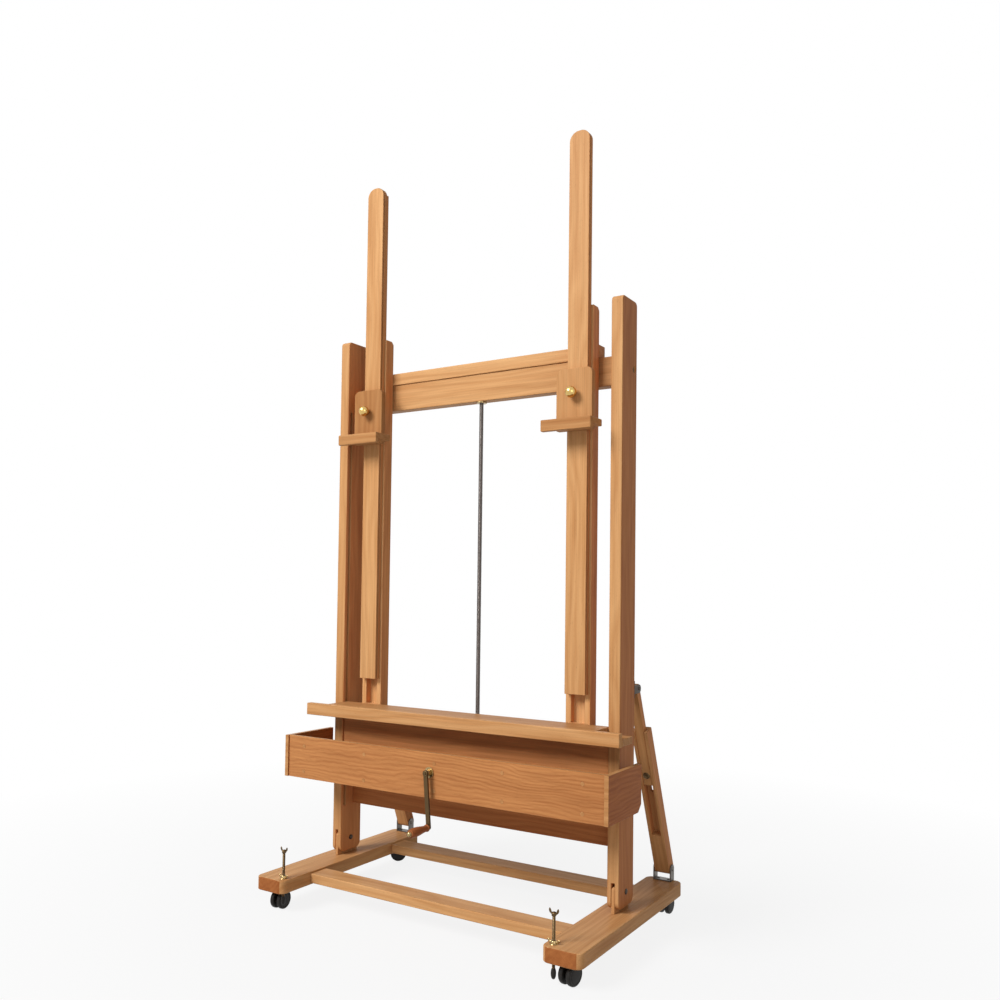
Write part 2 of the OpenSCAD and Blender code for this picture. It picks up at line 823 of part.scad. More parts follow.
// ---- crank and lead screw ------------------------------------------------

// A bevel gear along +Z: its apex lies at the origin, its back at z = r
module bevel(r, bore) {
  g = 0.45;
  teeth = 18;
  difference() {
    union() {
      translate([0, 0, r - bevel_face]) cylinder(r1 = r - bevel_face - g, r2 = r - g,
                                                 h = bevel_face, $fn = fine);
      translate([0, 0, r]) cylinder(r = r - g, h = 3, $fn = fine);
      translate([0, 0, r]) cylinder(d = bore + 10, h = bevel_hub, $fn = fine);
    }
    for (i = [0 : teeth - 1]) rotate([0, 0, i * 360 / teeth]) translate([0, 0, -0.6])
      rotate([0, 45, 0]) translate([0, -0.8, -1.5]) cube([2 * r, 1.6, 3]);
  }
}

module crank_shaft() {
  color("#c9a44c") at_posts() {
    rod_y(0, crank_z, -arm_y, screw_set - bevel_r + bevel_face - 1, crank_d);
    rod_y(0, crank_z, -arm_y + crank_t, -tray_out - 3.5, crank_d + 5);
    translate([0, screw_set, crank_z]) rotate([90, 0, 0]) bevel(bevel_r, crank_d);
  }
}

// The arm hangs from the hub and carries the grip's pin
module crank_arm() {
  color("#c9a44c") at_posts() translate([0, -arm_y, crank_z]) rotate([0, -crank_angle, 0]) {
    difference() {
      translate([0, crank_t, 0]) rotate([90, 0, 0]) linear_extrude(crank_t) union() {
        circle(d = crank_w, $fn = fine);
        translate([-crank_w / 2 + 2, -crank_len]) square([crank_w - 4, crank_len]);
        translate([0, -crank_len]) circle(d = crank_w - 4, $fn = fine);
      }
      rod_y(0, 0, -1, crank_t + 1, crank_d + 2 * fit);
    }
    rod_y(0, 0, -4, -0.3, crank_w - 6);
    rod_y(0, -crank_len, -grip_len - 6, 1, pin_d);
    rod_y(0, -crank_len, -grip_len - 6, -grip_len - 2, pin_d + 6);
  }
}

module crank_grip() {
  color("#c98a4b") at_posts() translate([0, -arm_y, crank_z]) rotate([0, -crank_angle, 0])
    translate([0, -1, -crank_len]) rotate([90, 0, 0]) rotate_extrude($fn = fine) difference() {
      union() {
        translate([0, 0]) square([grip_d / 2 - 2, grip_len]);
        translate([0, 4]) square([grip_d / 2, grip_len - 8]);
        translate([0, 4]) polygon([[0, -4], [grip_d / 2 - 2, -4], [grip_d / 2, 0], [0, 0]]);
        translate([0, grip_len - 4]) polygon([[0, 0], [grip_d / 2, 0], [grip_d / 2 - 2, 4], [0, 4]]);
      }
      translate([-1, -1]) square([1 + pin_d / 2 + fit, grip_len + 2]);
    }
}

module lead_screw() {
  color("#9fa1a3") at_posts()
    rod_z(0, screw_set, crank_z + bevel_r - bevel_face + 1, rail_top, screw_d);
}

module screw_bevel() {
  color("#9a8350") at_posts() translate([0, screw_set, crank_z]) difference() {
    rotate([0, 0, 10]) bevel(bevel_r, screw_d);
    rod_z(0, 0, 0, bevel_r + 20, screw_d + 2 * fit);
  }
}

// ---- planks and canvas holders -------------------------------------------

module plank(s) {
  r = plank_w / 2;
  top = plank_z + plank_len;
  tongue_w = channel_w - 2 * slide_gap;
  g0 = plank_front + side_groove_set;
  on_side(s) at_posts() translate([mast_x, 0, 0]) difference() {
    union() {
      translate([0, plank_front + plank_t, 0]) rotate([90, 0, 0]) linear_extrude(plank_t) union() {
        translate([-r, plank_z]) square([plank_w, plank_len - plank_r]);
        translate([-r + plank_r, plank_z]) square([plank_w - 2 * plank_r, plank_len]);
        for (k = [-1, 1]) translate([k * (r - plank_r), top - plank_r])
          circle(r = plank_r, $fn = fine);
      }
      slab(-tongue_w / 2, tongue_w / 2, plank_front + plank_t - 1,
           mast_y + channel_d - slide_gap, plank_z, top - 14);
    }
    for (k = [-1, 1]) slab(k * (r - side_groove_depth / 2 + 1) - side_groove_depth / 2 - 1,
                           k * (r - side_groove_depth / 2 + 1) + side_groove_depth / 2 + 1,
                           g0, g0 + side_groove_w, plank_z - 1, top + 1);
  }
}

module plank_left() { color("#d8a56a") plank(-1); }
module plank_right() { color("#d8a56a") plank(1); }

function ledge_z(s) = holder_z + (s < 0 ? holder_rise : 0);
function ball_z(s) = ledge_z(s) + ledge_t + holder_h * 0.52;

// The holder's plate grips the plank's side grooves with two hooked cheeks
module holder(s) {
  z0 = ledge_z(s) + ledge_t;
  rear = plank_front - slide_gap;
  x1 = plank_w / 2 + slide_gap;
  g0 = plank_front + side_groove_set;
  on_side(s) at_posts() translate([mast_x, 0, 0]) difference() {
    union() {
      translate([-holder_w / 2, rear, z0]) rotate([90, 0, 0]) linear_extrude(holder_t) union() {
        square([holder_w, holder_h - holder_r]);
        translate([holder_r, 0]) square([holder_w - 2 * holder_r, holder_h]);
        for (x = [holder_r, holder_w - holder_r]) translate([x, holder_h - holder_r])
          circle(r = holder_r, $fn = fine);
      }
      for (k = [-1, 1]) on_side(k) {
        slab(x1, x1 + cheek_t, rear - 1, g0 + side_groove_w, z0 + 6, z0 + holder_h - 18);
        slab(x1 - side_groove_depth + 0.5, x1 + 1, g0 + slide_gap,
             g0 + side_groove_w - slide_gap, z0 + 6, z0 + holder_h - 18);
      }
    }
    rod_y(0, ball_z(s), rear - holder_t - 1, rear + 1, ball_stem_d + 2 * fit);
  }
}

module holder_left() { color("#c98a4b") holder(-1); }
module holder_right() { color("#c98a4b") holder(1); }

// The ledge's lip hangs in front of the canvas, whose top edge lies in the rebate behind it
module ledge(s) {
  rear = plank_front - slide_gap;
  front = rear - ledge_out;
  half = ledge_w / 2;
  rebate_z = ledge_z(s) + ledge_rebate;
  on_side(s) at_posts() translate([mast_x, 0, 0]) {
    slab(-half, half, front, rear, rebate_z, ledge_z(s) + ledge_t);
    slab(-half, half, front, front + ledge_lip, ledge_z(s), rebate_z + 1);
    slab(-holder_w / 2, holder_w / 2, rear - holder_t, rear, rebate_z - ledge_rebate / 2, rebate_z + 1);
  }
}

module ledge_left() { color("#d8a56a") ledge(-1); }
module ledge_right() { color("#d8a56a") ledge(1); }

module ball_knob(s) {
  y0 = plank_front - ball_out;
  on_side(s) at_posts() translate([mast_x, 0, ball_z(s)]) union() {
    translate([0, y0, 0]) sphere(d = ball_d, $fn = fine);
    rod_y(0, 0, y0, plank_front - slide_gap, ball_stem_d);
    rod_y(0, 0, y0 + ball_d / 2 - 3, plank_front - holder_t - 1, ball_stem_d + 5);
  }
}

module ball_knob_left() { color("#d6b35a") ball_knob(-1); }
module ball_knob_right() { color("#d6b35a") ball_knob(1); }

// A knob behind each mast clamps the plank's tongue
module mast_knob(s) {
  y0 = mast_y + channel_d - slide_gap + 0.3;
  on_side(s) at_posts() union() {
    rod_y(mast_x, mast_knob_z, y0, mast_rear + 8 + knob_h / 2, knob_bolt_d);
    rod_y(mast_x, mast_knob_z, mast_rear + 1, mast_rear + 8, knob_bolt_d + 8);
    rod_y(mast_x, mast_knob_z, mast_rear + 8, mast_rear + 8 + knob_h, knob_d);
  }
}

module mast_knob_left() { color("#2b2b2d") mast_knob(-1); }
module mast_knob_right() { color("#2b2b2d") mast_knob(1); }

// ---- braces --------------------------------------------------------------

// Children are drawn in (forward, along): x forward, y along the brace
module in_brace(s, x0, x1) {
  on_side(s) at_posts() translate([0, foot_y, foot_z]) rotate([brace_angle, 0, 0])
    translate([x0, 0, 0]) rotate([90, 0, 90]) linear_extrude(x1 - x0) mirror([1, 0]) children();
}

module brace(s) {
  x0 = post_x - brace_w / 2;
  x1 = post_x + brace_w / 2;
  mid = (brace_front + brace_back) / 2;
  difference() {
    in_brace(s, x0, x1) union() {
      translate([brace_back, 0]) square([brace_t, brace_len]);
      translate([mid, 0]) circle(r = brace_t / 2, $fn = fine);
    }
    in_brace(s, post_x - brace_groove_w / 2, post_x + brace_groove_w / 2)
      translate([groove_floor, groove_start]) square([brace_t, brace_len]);
    in_brace(s, post_x - slot_half, post_x + slot_half)
      translate([brace_back - 1, lock_along - lock_slot]) square([brace_t, 2 * lock_slot]);
    on_side(s) at_posts() rod_x(foot_y, foot_z, x0 - 1, x1 + 1, foot_pin_d + 2 * fit);
  }
}

module brace_left() { color("#c98545") brace(-1); }
module brace_right() { color("#c98545") brace(1); }

// The upper brace slides in the lower one and hangs on the post's bracket
module slider(s) {
  x0 = post_x - slider_w / 2;
  x1 = post_x + slider_w / 2;
  low = slider_reach - slider_len;
  difference() {
    in_brace(s, x0, x1) union() {
      translate([slider_off - slider_t / 2, low]) square([slider_t, slider_len - 6]);
      translate([slider_off, slider_reach]) circle(r = head_eye / 2, $fn = fine);
    }
    in_brace(s, x0 - 1, x1 + 1) translate([slider_off, slider_reach])
      circle(r = head_pin_d / 2 + head_play, $fn = fine);
    lock_rod(s, brace_back - 20, brace_front + 20, lock_d + 2 * fit);
  }
}

// A cylinder across the brace at the lock, from f0 to f1 forward
module lock_rod(s, f0, f1, d) {
  on_side(s) at_posts() translate([post_x, foot_y, foot_z]) rotate([brace_angle, 0, 0])
    translate([0, -f1, lock_along]) rotate([-90, 0, 0]) cylinder(d = d, h = f1 - f0, $fn = fine);
}

module slider_left() { color("#d29550") slider(-1); }
module slider_right() { color("#d29550") slider(1); }

// Lock bolt with a round head in front and a knob behind the lower brace
module brace_knob(s) {
  front = slider_off + slider_t / 2;
  color("#77797c") union() {
    lock_rod(s, brace_back - 10, front + 1, lock_d);
    lock_rod(s, front + 0.3, front + 4, 20);
    lock_rod(s, brace_back - 5, brace_back - slide_gap, 20);
    lock_rod(s, brace_back - 18, brace_back - 5, lock_knob_d);
  }
}

module brace_knob_left() { brace_knob(-1); }
module brace_knob_right() { brace_knob(1); }

// ---- casters and levellers -----------------------------------------------

function swivel_y(k) = k < 0 ? y_front + front_swivel_set : y_front + runner_len - rear_swivel_set;

// Resting turn of a caster, outwards from straight back
function caster_turn(s, k) = k > 0 ? (s > 0 ? 0 : rear_left_turn)
  : (s > 0 ? -front_right_turn : -front_left_turn);

// Places its children at a swivel, with the caster's trail along Y
module at_swivel(s, k) {
  on_side(s) translate([swivel_x, swivel_y(k), 0]) rotate([0, 0, -caster_turn(s, k)]) children();
}

// The fork turns in the runner and holds the axle behind its swivel
module fork(s, k) {
  r = wheel_d / 2;
  plate_z = wheel_d + clear;
  color("#1d1d1f") at_swivel(s, k) difference() {
    union() {
      rod_z(0, 0, plate_z, runner_z + stem_len, stem_d);
      rod_z(0, 0, plate_z, runner_z - 1, swivel_d);
      profile_x(-wheel_gap / 2, wheel_gap / 2) union() {
        translate([trail, r]) circle(r = 13, $fn = fine);
        polygon([[-13, plate_z + 1], [13, plate_z + 1], [trail + 13, r], [trail - 13, r]]);
      }
    }
    rod_x(trail, r, -wheel_gap, wheel_gap, axle_d + 2 * fit);
  }
}

module fork_front_left() { fork(-1, -1); }
module fork_front_right() { fork(1, -1); }
module fork_rear_left() { fork(-1, 1); }
module fork_rear_right() { fork(1, 1); }

// Two rounded wheels on one axle
module wheels(s, k) {
  r = wheel_d / 2;
  f = 5;
  x0 = wheel_gap / 2 + 0.5;
  color("#1d1d1f") at_swivel(s, k) translate([0, trail, r]) rotate([0, 90, 0])
    rotate_extrude($fn = fine) union() {
      translate([0, -x0 - 1]) square([axle_d / 2, 2 * x0 + 2]);
      for (m = [0, 1]) mirror([0, m]) translate([0, x0]) union() {
        square([r - f, wheel_w]);
        translate([0, f]) square([r, wheel_w - 2 * f]);
        translate([r - f, f]) circle(r = f, $fn = fine);
        translate([r - f, wheel_w - f]) circle(r = f, $fn = fine);
      }
    }
}

module wheels_front_left() { wheels(-1, -1); }
module wheels_front_right() { wheels(1, -1); }
module wheels_rear_left() { wheels(-1, 1); }
module wheels_rear_right() { wheels(1, 1); }

function leveller_at(s) = [leveller_x, y_front + leveller_set, leveller_z + (s < 0 ? leveller_rise : 0)];

// The foot hangs on the screw's lower end and doesn't turn with it
module leveller_foot(s) {
  cone = 8;
  color("#1d1d1f") on_side(s) translate(leveller_at(s))
    difference() {
      union() {
        cylinder(d1 = foot_d - 5, d2 = foot_d, h = cone, $fn = fine);
        translate([0, 0, cone]) cylinder(d = foot_d, h = foot_h - 2 * cone, $fn = fine);
        translate([0, 0, foot_h - cone]) cylinder(d1 = foot_d, d2 = foot_d - 2, h = cone, $fn = fine);
      }
      rod_z(0, 0, foot_socket, foot_h + 1, leveller_d + 2 * fit);
    }
}

module leveller_foot_left() { leveller_foot(-1); }
module leveller_foot_right() { leveller_foot(1); }

// The screw runs through the runner's bush and is turned by its wing
module leveller_screw(s) {
  rod = 144;
  wing_r = 6;
  color("#c9a44c") on_side(s) translate(leveller_at(s)) union() {
    rod_z(0, 0, foot_socket, rod, leveller_d);
    rod_z(0, 0, rod - 10, rod + 4, leveller_d + 4);
    for (k = [-1, 1]) translate([k * 8, 1.5, rod + 7]) rotate([90, 0, 0])
      cylinder(r = wing_r, h = 3, $fn = fine);
  }
}

module leveller_screw_left() { leveller_screw(-1); }
module leveller_screw_right() { leveller_screw(1); }

// ---- the easel -----------------------------------------------------------

runner_left();
runner_right();
cross_rails();
post_tongues();
foot_brackets();
leveller_bushes();
post_left();
post_right();
crossbar();
lower_board();
screw_nut();
frame_bolts();
head_brackets();
shelf_lip();
shelf_board();
canvas_shelf();
back_board();
tray_front();
tray_ends();
tray_floor_panel();
tray_dividers();
tray_dowels();
gear_housing();
shaft_bushes();
mast_left();
mast_right();
top_rail();
crank_shaft();
crank_arm();
crank_grip();
lead_screw();
screw_bevel();
plank_left();
plank_right();
holder_left();
holder_right();
ledge_left();
ledge_right();
ball_knob_left();
ball_knob_right();
mast_knob_left();
mast_knob_right();
brace_left();
brace_right();
slider_left();
slider_right();
brace_knob_left();
brace_knob_right();
fork_front_left();
fork_front_right();
fork_rear_left();
fork_rear_right();
wheels_front_left();
wheels_front_right();
wheels_rear_left();
wheels_rear_right();
leveller_foot_left();
leveller_foot_right();
leveller_screw_left();
leveller_screw_right();
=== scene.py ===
"""Studio easel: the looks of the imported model, laid out as an add-on."""

import json
import math

import bmesh
import bpy
import numpy as np
from mathutils import Matrix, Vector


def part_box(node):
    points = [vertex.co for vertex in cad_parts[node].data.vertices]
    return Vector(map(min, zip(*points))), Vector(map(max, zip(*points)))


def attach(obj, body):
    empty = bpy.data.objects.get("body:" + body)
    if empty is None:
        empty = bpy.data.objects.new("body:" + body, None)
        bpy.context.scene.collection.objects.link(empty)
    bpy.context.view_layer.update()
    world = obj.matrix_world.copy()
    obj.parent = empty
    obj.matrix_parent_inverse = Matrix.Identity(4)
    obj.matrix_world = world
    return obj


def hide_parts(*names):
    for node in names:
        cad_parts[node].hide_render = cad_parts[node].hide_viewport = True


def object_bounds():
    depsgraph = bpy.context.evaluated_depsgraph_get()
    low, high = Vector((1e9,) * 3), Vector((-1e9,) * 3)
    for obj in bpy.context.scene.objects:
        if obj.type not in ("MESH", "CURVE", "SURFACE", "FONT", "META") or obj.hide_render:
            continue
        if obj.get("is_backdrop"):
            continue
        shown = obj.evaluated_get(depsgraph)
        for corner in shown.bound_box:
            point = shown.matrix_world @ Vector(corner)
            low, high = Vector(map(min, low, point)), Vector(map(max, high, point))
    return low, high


bl_info = {
    "name": "Studio Easel Looks",
    "version": (1, 0, 0),
    "blender": (4, 5, 0),
    "location": "View3D > Sidebar > Easel",
    "description": "Dresses the packed studio easel in oiled beech, plywood, brass and steel",
    "category": "Object",
}

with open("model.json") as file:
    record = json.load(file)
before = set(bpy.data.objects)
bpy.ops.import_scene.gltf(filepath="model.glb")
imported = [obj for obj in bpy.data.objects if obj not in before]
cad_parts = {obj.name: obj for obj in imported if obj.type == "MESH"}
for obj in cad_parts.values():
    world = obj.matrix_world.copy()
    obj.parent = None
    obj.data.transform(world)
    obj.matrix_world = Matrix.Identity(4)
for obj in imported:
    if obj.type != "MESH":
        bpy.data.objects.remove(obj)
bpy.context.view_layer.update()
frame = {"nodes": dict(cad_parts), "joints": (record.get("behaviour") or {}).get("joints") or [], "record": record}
NODES = frame["nodes"]
BODY_OF = {n: b for b, names in frame["record"]["behaviour"]["bodies"].items() for n in names}
JOINTS = {j["name"]: j for j in frame["joints"]}
SIDES = ("left", "right")
MM = 0.001

EASE_STEPS = 3  # segments across an eased edge
WEIGHTED = 60  # weight of the large faces in a piece's normals
MERGE = 0.004 * MM  # vertices this close are one
FLAT = math.radians(0.8)  # faces that differ by less than this are one face
CREASE = math.radians(40)  # a turned piece is sharp past this angle
FACING = 0.9  # a face looks along an axis when its normal's part there is larger

WOOD_GLOSS, PLASTIC_GLOSS = 0.05, 0.22  # specular levels
WOOD_BUMP, METAL_BUMP = 0.12, 0.05  # bump strengths
BUMP_DISTANCE = 0.3 * MM
METAL_GRAIN, PLASTIC_GRAIN = 600.0, 900.0  # scales of the fine grain
DEEPENING = (1.0, 1.35, 1.7)  # how fast red, green and blue fall as oiled wood deepens
SIDE_SEED = 0.5  # the seed of a timber's deeper-toned faces lies this far on


# Settings


def colour(name, text, value):
    """A colour property in linear RGB."""
    return bpy.props.FloatVectorProperty(
        name=name, description=text, subtype="COLOR", size=3, min=0.0, max=1.0, default=value
    )


def length(name, text, value):
    """A length property in metres."""
    return bpy.props.FloatProperty(
        name=name, description=text, unit="LENGTH", subtype="DISTANCE", min=0.0, default=value
    )


def strength(name, text, value, subtype):
    """The strength of a light."""
    return bpy.props.FloatProperty(
        name=name, description=text, subtype=subtype, min=0.0, default=value
    )


class EaselWoodSettings(bpy.types.PropertyGroup):
    """Colours of the woods and the easing of their edges."""

    beech_light: colour("Beech, light", "Pale bands of the oiled beech", (0.73, 0.425, 0.195))
    beech_dark: colour("Beech, dark", "Dark bands of the oiled beech", (0.50, 0.235, 0.086))
    # Deeper, redder tone: painted shade on side faces and on boards in shade, and the darker end grain of the
    # runners' ends.
    shade_and_end_grain_light: colour("Shade and end grain, light", "Pale bands of deeper-toned faces",
                        (0.66, 0.285, 0.105))
    shade_and_end_grain_dark: colour("Shade and end grain, dark", "Dark bands of deeper-toned faces",
                       (0.44, 0.158, 0.054))
    ply_light: colour("Plywood, light", "Pale bands of the tray's veneer", (0.50, 0.215, 0.075))
    ply_dark: colour("Plywood, dark", "Dark bands of the tray's veneer", (0.30, 0.105, 0.034))
    grip: colour("Grip", "Stained handle of the crank", (0.35, 0.118, 0.043))
    edge: length("Edge radius", "Easing of the solid wood's edges", 1.6 * MM)
    ply_edge: length("Plywood edge", "Easing of the plywood's edges", 0.8 * MM)


class EaselMetalSettings(bpy.types.PropertyGroup):
    """Colours of the metals and plastics and the pitch of the threads."""

    brass: colour("Brass", "Polished brass of the knobs", (0.70, 0.48, 0.17))
    bronze: colour("Bronze", "Dark bronze of the crank, locks and levelling screws",
                   (0.125, 0.080, 0.038))
    aged: colour("Aged brass", "Dull brass of the bushes, gears and lock nuts", (0.42, 0.30, 0.14))
    dark_steel: colour("Dark steel", "Browned steel of the bolts and upper brackets",
                       (0.062, 0.046, 0.034))
    steel: colour("Steel", "Zinc-plated steel of the brackets on the runners", (0.16, 0.145, 0.13))
    screw: colour("Screw steel", "Oiled steel of the lead screw", (0.12, 0.104, 0.095))
    black: colour("Black", "Black plastic of the casters and knobs", (0.009, 0.0072, 0.0058))
    screw_lead: length("Screw lead", "Rise of the lead screw in one turn", 10.0 * MM)
    rod_pitch: length("Rod pitch", "Pitch of the levelling screws", 1.5 * MM)


class EaselStageSettings(bpy.types.PropertyGroup):
    """Floor, lamps and world."""

    floor: colour("Floor", "Colour of the pale floor", (0.55, 0.55, 0.55))
    key_power: strength("Key power", "Power of the main lamp", 640.0, "POWER")
    fill_power: strength("Fill power", "Power of the fill lamp", 27.0, "POWER")
    ambient: strength("Ambient", "Strength of the world's light on the easel", 0.27, "FACTOR")


# Shader node groups


class Graph:
    """A small helper that adds nodes to a tree and links them."""

    def __init__(self, tree):
        self.tree = tree

    def node(self, kind, **values):
        """Adds a node; keys name attributes, or sockets when they start with a capital."""
        made = self.tree.nodes.new(kind)
        for key, value in values.items():
            if key[0].isupper():
                self.feed(made.inputs[key.replace("_", " ")], value)
            else:
                setattr(made, key, value)
        return made

    def feed(self, socket, value):
        """Links a socket to a socket, or sets its value."""
        if isinstance(value, bpy.types.NodeSocket):
            self.tree.links.new(value, socket)
        else:
            socket.default_value = value

    def math(self, operation, a, b):
        """A Math node on two sockets or numbers."""
        made = self.node("ShaderNodeMath", operation=operation)
        self.feed(made.inputs[0], a)
        self.feed(made.inputs[1], b)
        return made.outputs[0]

    def plus(self, a, b):
        """The sum of two sockets or numbers."""
        return self.math("ADD", a, b)

    def times(self, a, b):
        """The product of two sockets or numbers."""
        return self.math("MULTIPLY", a, b)

    def scaled(self, vector, x, y, z):
        """The vector with each of its parts multiplied."""
        made = self.node("ShaderNodeVectorMath", operation="MULTIPLY")
        self.feed(made.inputs[0], vector)
        made.inputs[1].default_value = (x, y, z)
        return made.outputs[0]

    def noise(self, vector, scale, detail=3.0, rough=0.5):
        """Smooth noise from 0 to 1."""
        return self.node(
            "ShaderNodeTexNoise", Vector=vector, Scale=scale, Detail=detail, Roughness=rough
        ).outputs["Fac"]

    def span(self, value, low, high, to_low=0.0, to_high=1.0):
        """Maps low..high onto to_low..to_high and clamps it."""
        made = self.node("ShaderNodeMapRange")
        for i, v in enumerate((value, low, high, to_low, to_high)):
            self.feed(made.inputs[i], v)
        return made.outputs[0]

    def mix(self, factor, a, b, blend="MIX"):
        """Two colours blended by a factor."""
        made = self.node("ShaderNodeMix", data_type="RGBA", blend_type=blend)
        colour_a, colour_b, colour_out = 6, 7, 2
        self.feed(made.inputs["Factor"], factor)
        self.feed(made.inputs[colour_a], a)
        self.feed(made.inputs[colour_b], b)
        return made.outputs[colour_out]

    def shaded(self, base, shade):
        """A colour multiplied by one number."""
        grey = self.node("ShaderNodeCombineColor", Red=shade, Green=shade, Blue=shade)
        return self.mix(1.0, base, grey.outputs[0], "MULTIPLY")


def new_group(name, inputs):
    """A node group that puts out a Color, a Roughness and a Height.

    Its inputs are names with defaults: a tuple for a colour, a number for a value, and
    None for a vector.
    """
    tree = bpy.data.node_groups.new(name, "ShaderNodeTree")
    colour_socket, value_socket = "NodeSocketColor", "NodeSocketFloat"
    kinds = {tuple: colour_socket, float: value_socket}
    for label, value in inputs.items():
        kind = kinds.get(type(value), "NodeSocketVector")
        socket = tree.interface.new_socket(name=label, in_out="INPUT", socket_type=kind)
        if value is not None:
            socket.default_value = value
    outputs = {"Color": colour_socket, "Roughness": value_socket, "Height": value_socket}
    for label, kind in outputs.items():
        tree.interface.new_socket(name=label, in_out="OUTPUT", socket_type=kind)
    given = tree.nodes.new("NodeGroupInput").outputs
    out = tree.nodes.new("NodeGroupOutput").inputs
    return Graph(tree), given, out


def wood_group():
    """Solid wood whose grain runs along X: rings, fibres and short ray flecks."""
    g, given, out = new_group("Solid Wood", {
        "Vector": None, "Light": (0.7, 0.4, 0.2, 1.0), "Dark": (0.4, 0.2, 0.1, 1.0),
        "Rings": 45.0, "Figure": 0.5,
    })
    v = given["Vector"]
    # broad drifts of tone, and rings that bend a little along the board
    drift = g.noise(g.scaled(v, 0.9, 7.0, 7.0), 2.2, 3.0)
    bend = g.noise(g.scaled(v, 1.6, 9.0, 9.0), 1.3, 2.0)
    across = g.node("ShaderNodeSeparateXYZ", Vector=v)
    radius = g.plus(g.times(across.outputs[1], 0.8), across.outputs[2])
    ring_at = g.times(radius, given["Rings"])
    ring_at = g.plus(ring_at, g.times(bend, 5.0))
    ring = g.span(g.math("PINGPONG", ring_at, 0.5), 0.05, 0.5)
    # fine fibres, short ray flecks and narrow streaks, all stretched along X
    fibre = g.noise(g.scaled(v, 5.0, 420.0, 420.0), 1.0, 4.0, 0.6)
    fleck = g.span(g.noise(g.scaled(v, 130.0, 900.0, 900.0), 1.0, 1.0), 0.66, 0.74)
    streak = g.noise(g.scaled(v, 2.2, 90.0, 90.0), 1.0, 4.0)
    broad = g.times(g.span(drift, 0.3, 0.7), 0.45)
    narrow = g.times(given["Figure"], 0.5)
    narrow = g.times(g.span(streak, 0.35, 0.7), narrow)
    tone = g.plus(g.times(ring, 0.30), broad)
    tone = g.plus(tone, narrow)
    base = g.mix(g.math("MINIMUM", tone, 1.0), given["Light"], given["Dark"])
    shade = g.span(fibre, 0.3, 0.7, 0.86, 1.09)
    shade = g.math("SUBTRACT", shade, g.times(fleck, 0.16))
    g.feed(out["Color"], g.shaded(base, shade))
    g.feed(out["Roughness"], g.span(fibre, 0.3, 0.7, 0.50, 0.36))
    g.feed(out["Height"], g.plus(g.times(fibre, 0.6), g.times(fleck, -0.4)))


def veneer_group():
    """Veneer whose dark lines run along X and sway: level lines of height plus slow noise."""
    g, given, out = new_group("Rotary Veneer", {
        "Vector": None, "Light": (0.5, 0.2, 0.1, 1.0), "Dark": (0.3, 0.1, 0.05, 1.0),
        "Lines": 95.0,
    })
    v = given["Vector"]
    # dark lines that sway slowly and ripple, and come and go
    sway = g.noise(g.scaled(v, 3.2, 7.0, 7.0), 1.0, 1.0, 0.4)
    ripple = g.noise(g.scaled(v, 17.0, 34.0, 34.0), 1.0, 1.0, 0.5)
    part = g.node("ShaderNodeSeparateXYZ", Vector=v)
    across = g.plus(part.outputs[2], g.times(part.outputs[1], 0.4))
    lines = g.plus(g.times(across, given["Lines"]), g.times(sway, 9.0))
    lines = g.plus(lines, g.times(ripple, 1.6))
    line = g.span(g.math("PINGPONG", lines, 0.5), 0.0, 0.34, 1.0, 0.0)
    presence = g.noise(g.scaled(v, 2.6, 60.0, 60.0), 1.0, 1.0)
    line = g.times(line, g.span(presence, 0.3, 0.62, 0.35, 1.0))
    # broad patches, fibres, pores and fine threads
    patch = g.span(g.noise(g.scaled(v, 2.0, 14.0, 14.0), 1.0, 3.0), 0.35, 0.65)
    fibre = g.noise(g.scaled(v, 9.0, 500.0, 500.0), 1.0, 3.0)
    pore = g.span(g.noise(g.scaled(v, 60.0, 1200.0, 1200.0), 1.0, 1.0), 0.62, 0.72)
    thread_noise = g.span(g.noise(g.scaled(v, 7.0, 170.0, 170.0), 1.0, 3.0), 0.34, 0.68)
    tone = g.plus(g.times(line, 0.42), g.times(patch, 0.26))
    tone = g.plus(tone, g.times(thread_noise, 0.34))
    base = g.mix(tone, given["Light"], given["Dark"])
    shade = g.math("SUBTRACT", g.span(fibre, 0.3, 0.7, 0.92, 1.06), g.times(pore, 0.18))
    g.feed(out["Color"], g.shaded(base, shade))
    g.feed(out["Roughness"], g.span(fibre, 0.3, 0.7, 0.46, 0.34))
    g.feed(out["Height"], g.math("SUBTRACT", fibre, g.times(pore, 0.5)))


def wear_group():
    """Fine scratches, smears and dust that change a surface's gloss and tint a little."""
    g, given, out = new_group("Handling Wear", {
        "Vector": None, "Clean": (0.5, 0.5, 0.5, 1.0), "Dull": (0.4, 0.4, 0.4, 1.0),
        "Smooth": 0.2, "Rough": 0.4, "Grain": 300.0,
    })
    v = given["Vector"]
    smear = g.span(g.noise(v, 45.0, 4.0, 0.6), 0.35, 0.7)
    grain = g.node("ShaderNodeTexNoise", Vector=v, Scale=given["Grain"], Detail=4.0).outputs["Fac"]
    scratch = g.noise(g.scaled(v, 40.0, 40.0, 1500.0), 1.0, 2.0)
    g.feed(out["Color"], g.mix(g.times(smear, 0.8), given["Clean"], given["Dull"]))
    rough = g.plus(g.times(smear, 0.6), g.times(grain, 0.4))
    g.feed(out["Roughness"], g.span(rough, 0.0, 1.0, given["Smooth"], given["Rough"]))
    g.feed(out["Height"], g.plus(g.times(grain, 0.6), g.times(scratch, 0.4)))


# Materials


def blank_material(name):
    """A material with a Principled shader and nothing else."""
    material = bpy.data.materials.new(name)
    material.use_nodes = True
    shader = material.node_tree.nodes["Principled BSDF"]
    return material, Graph(material.node_tree), shader


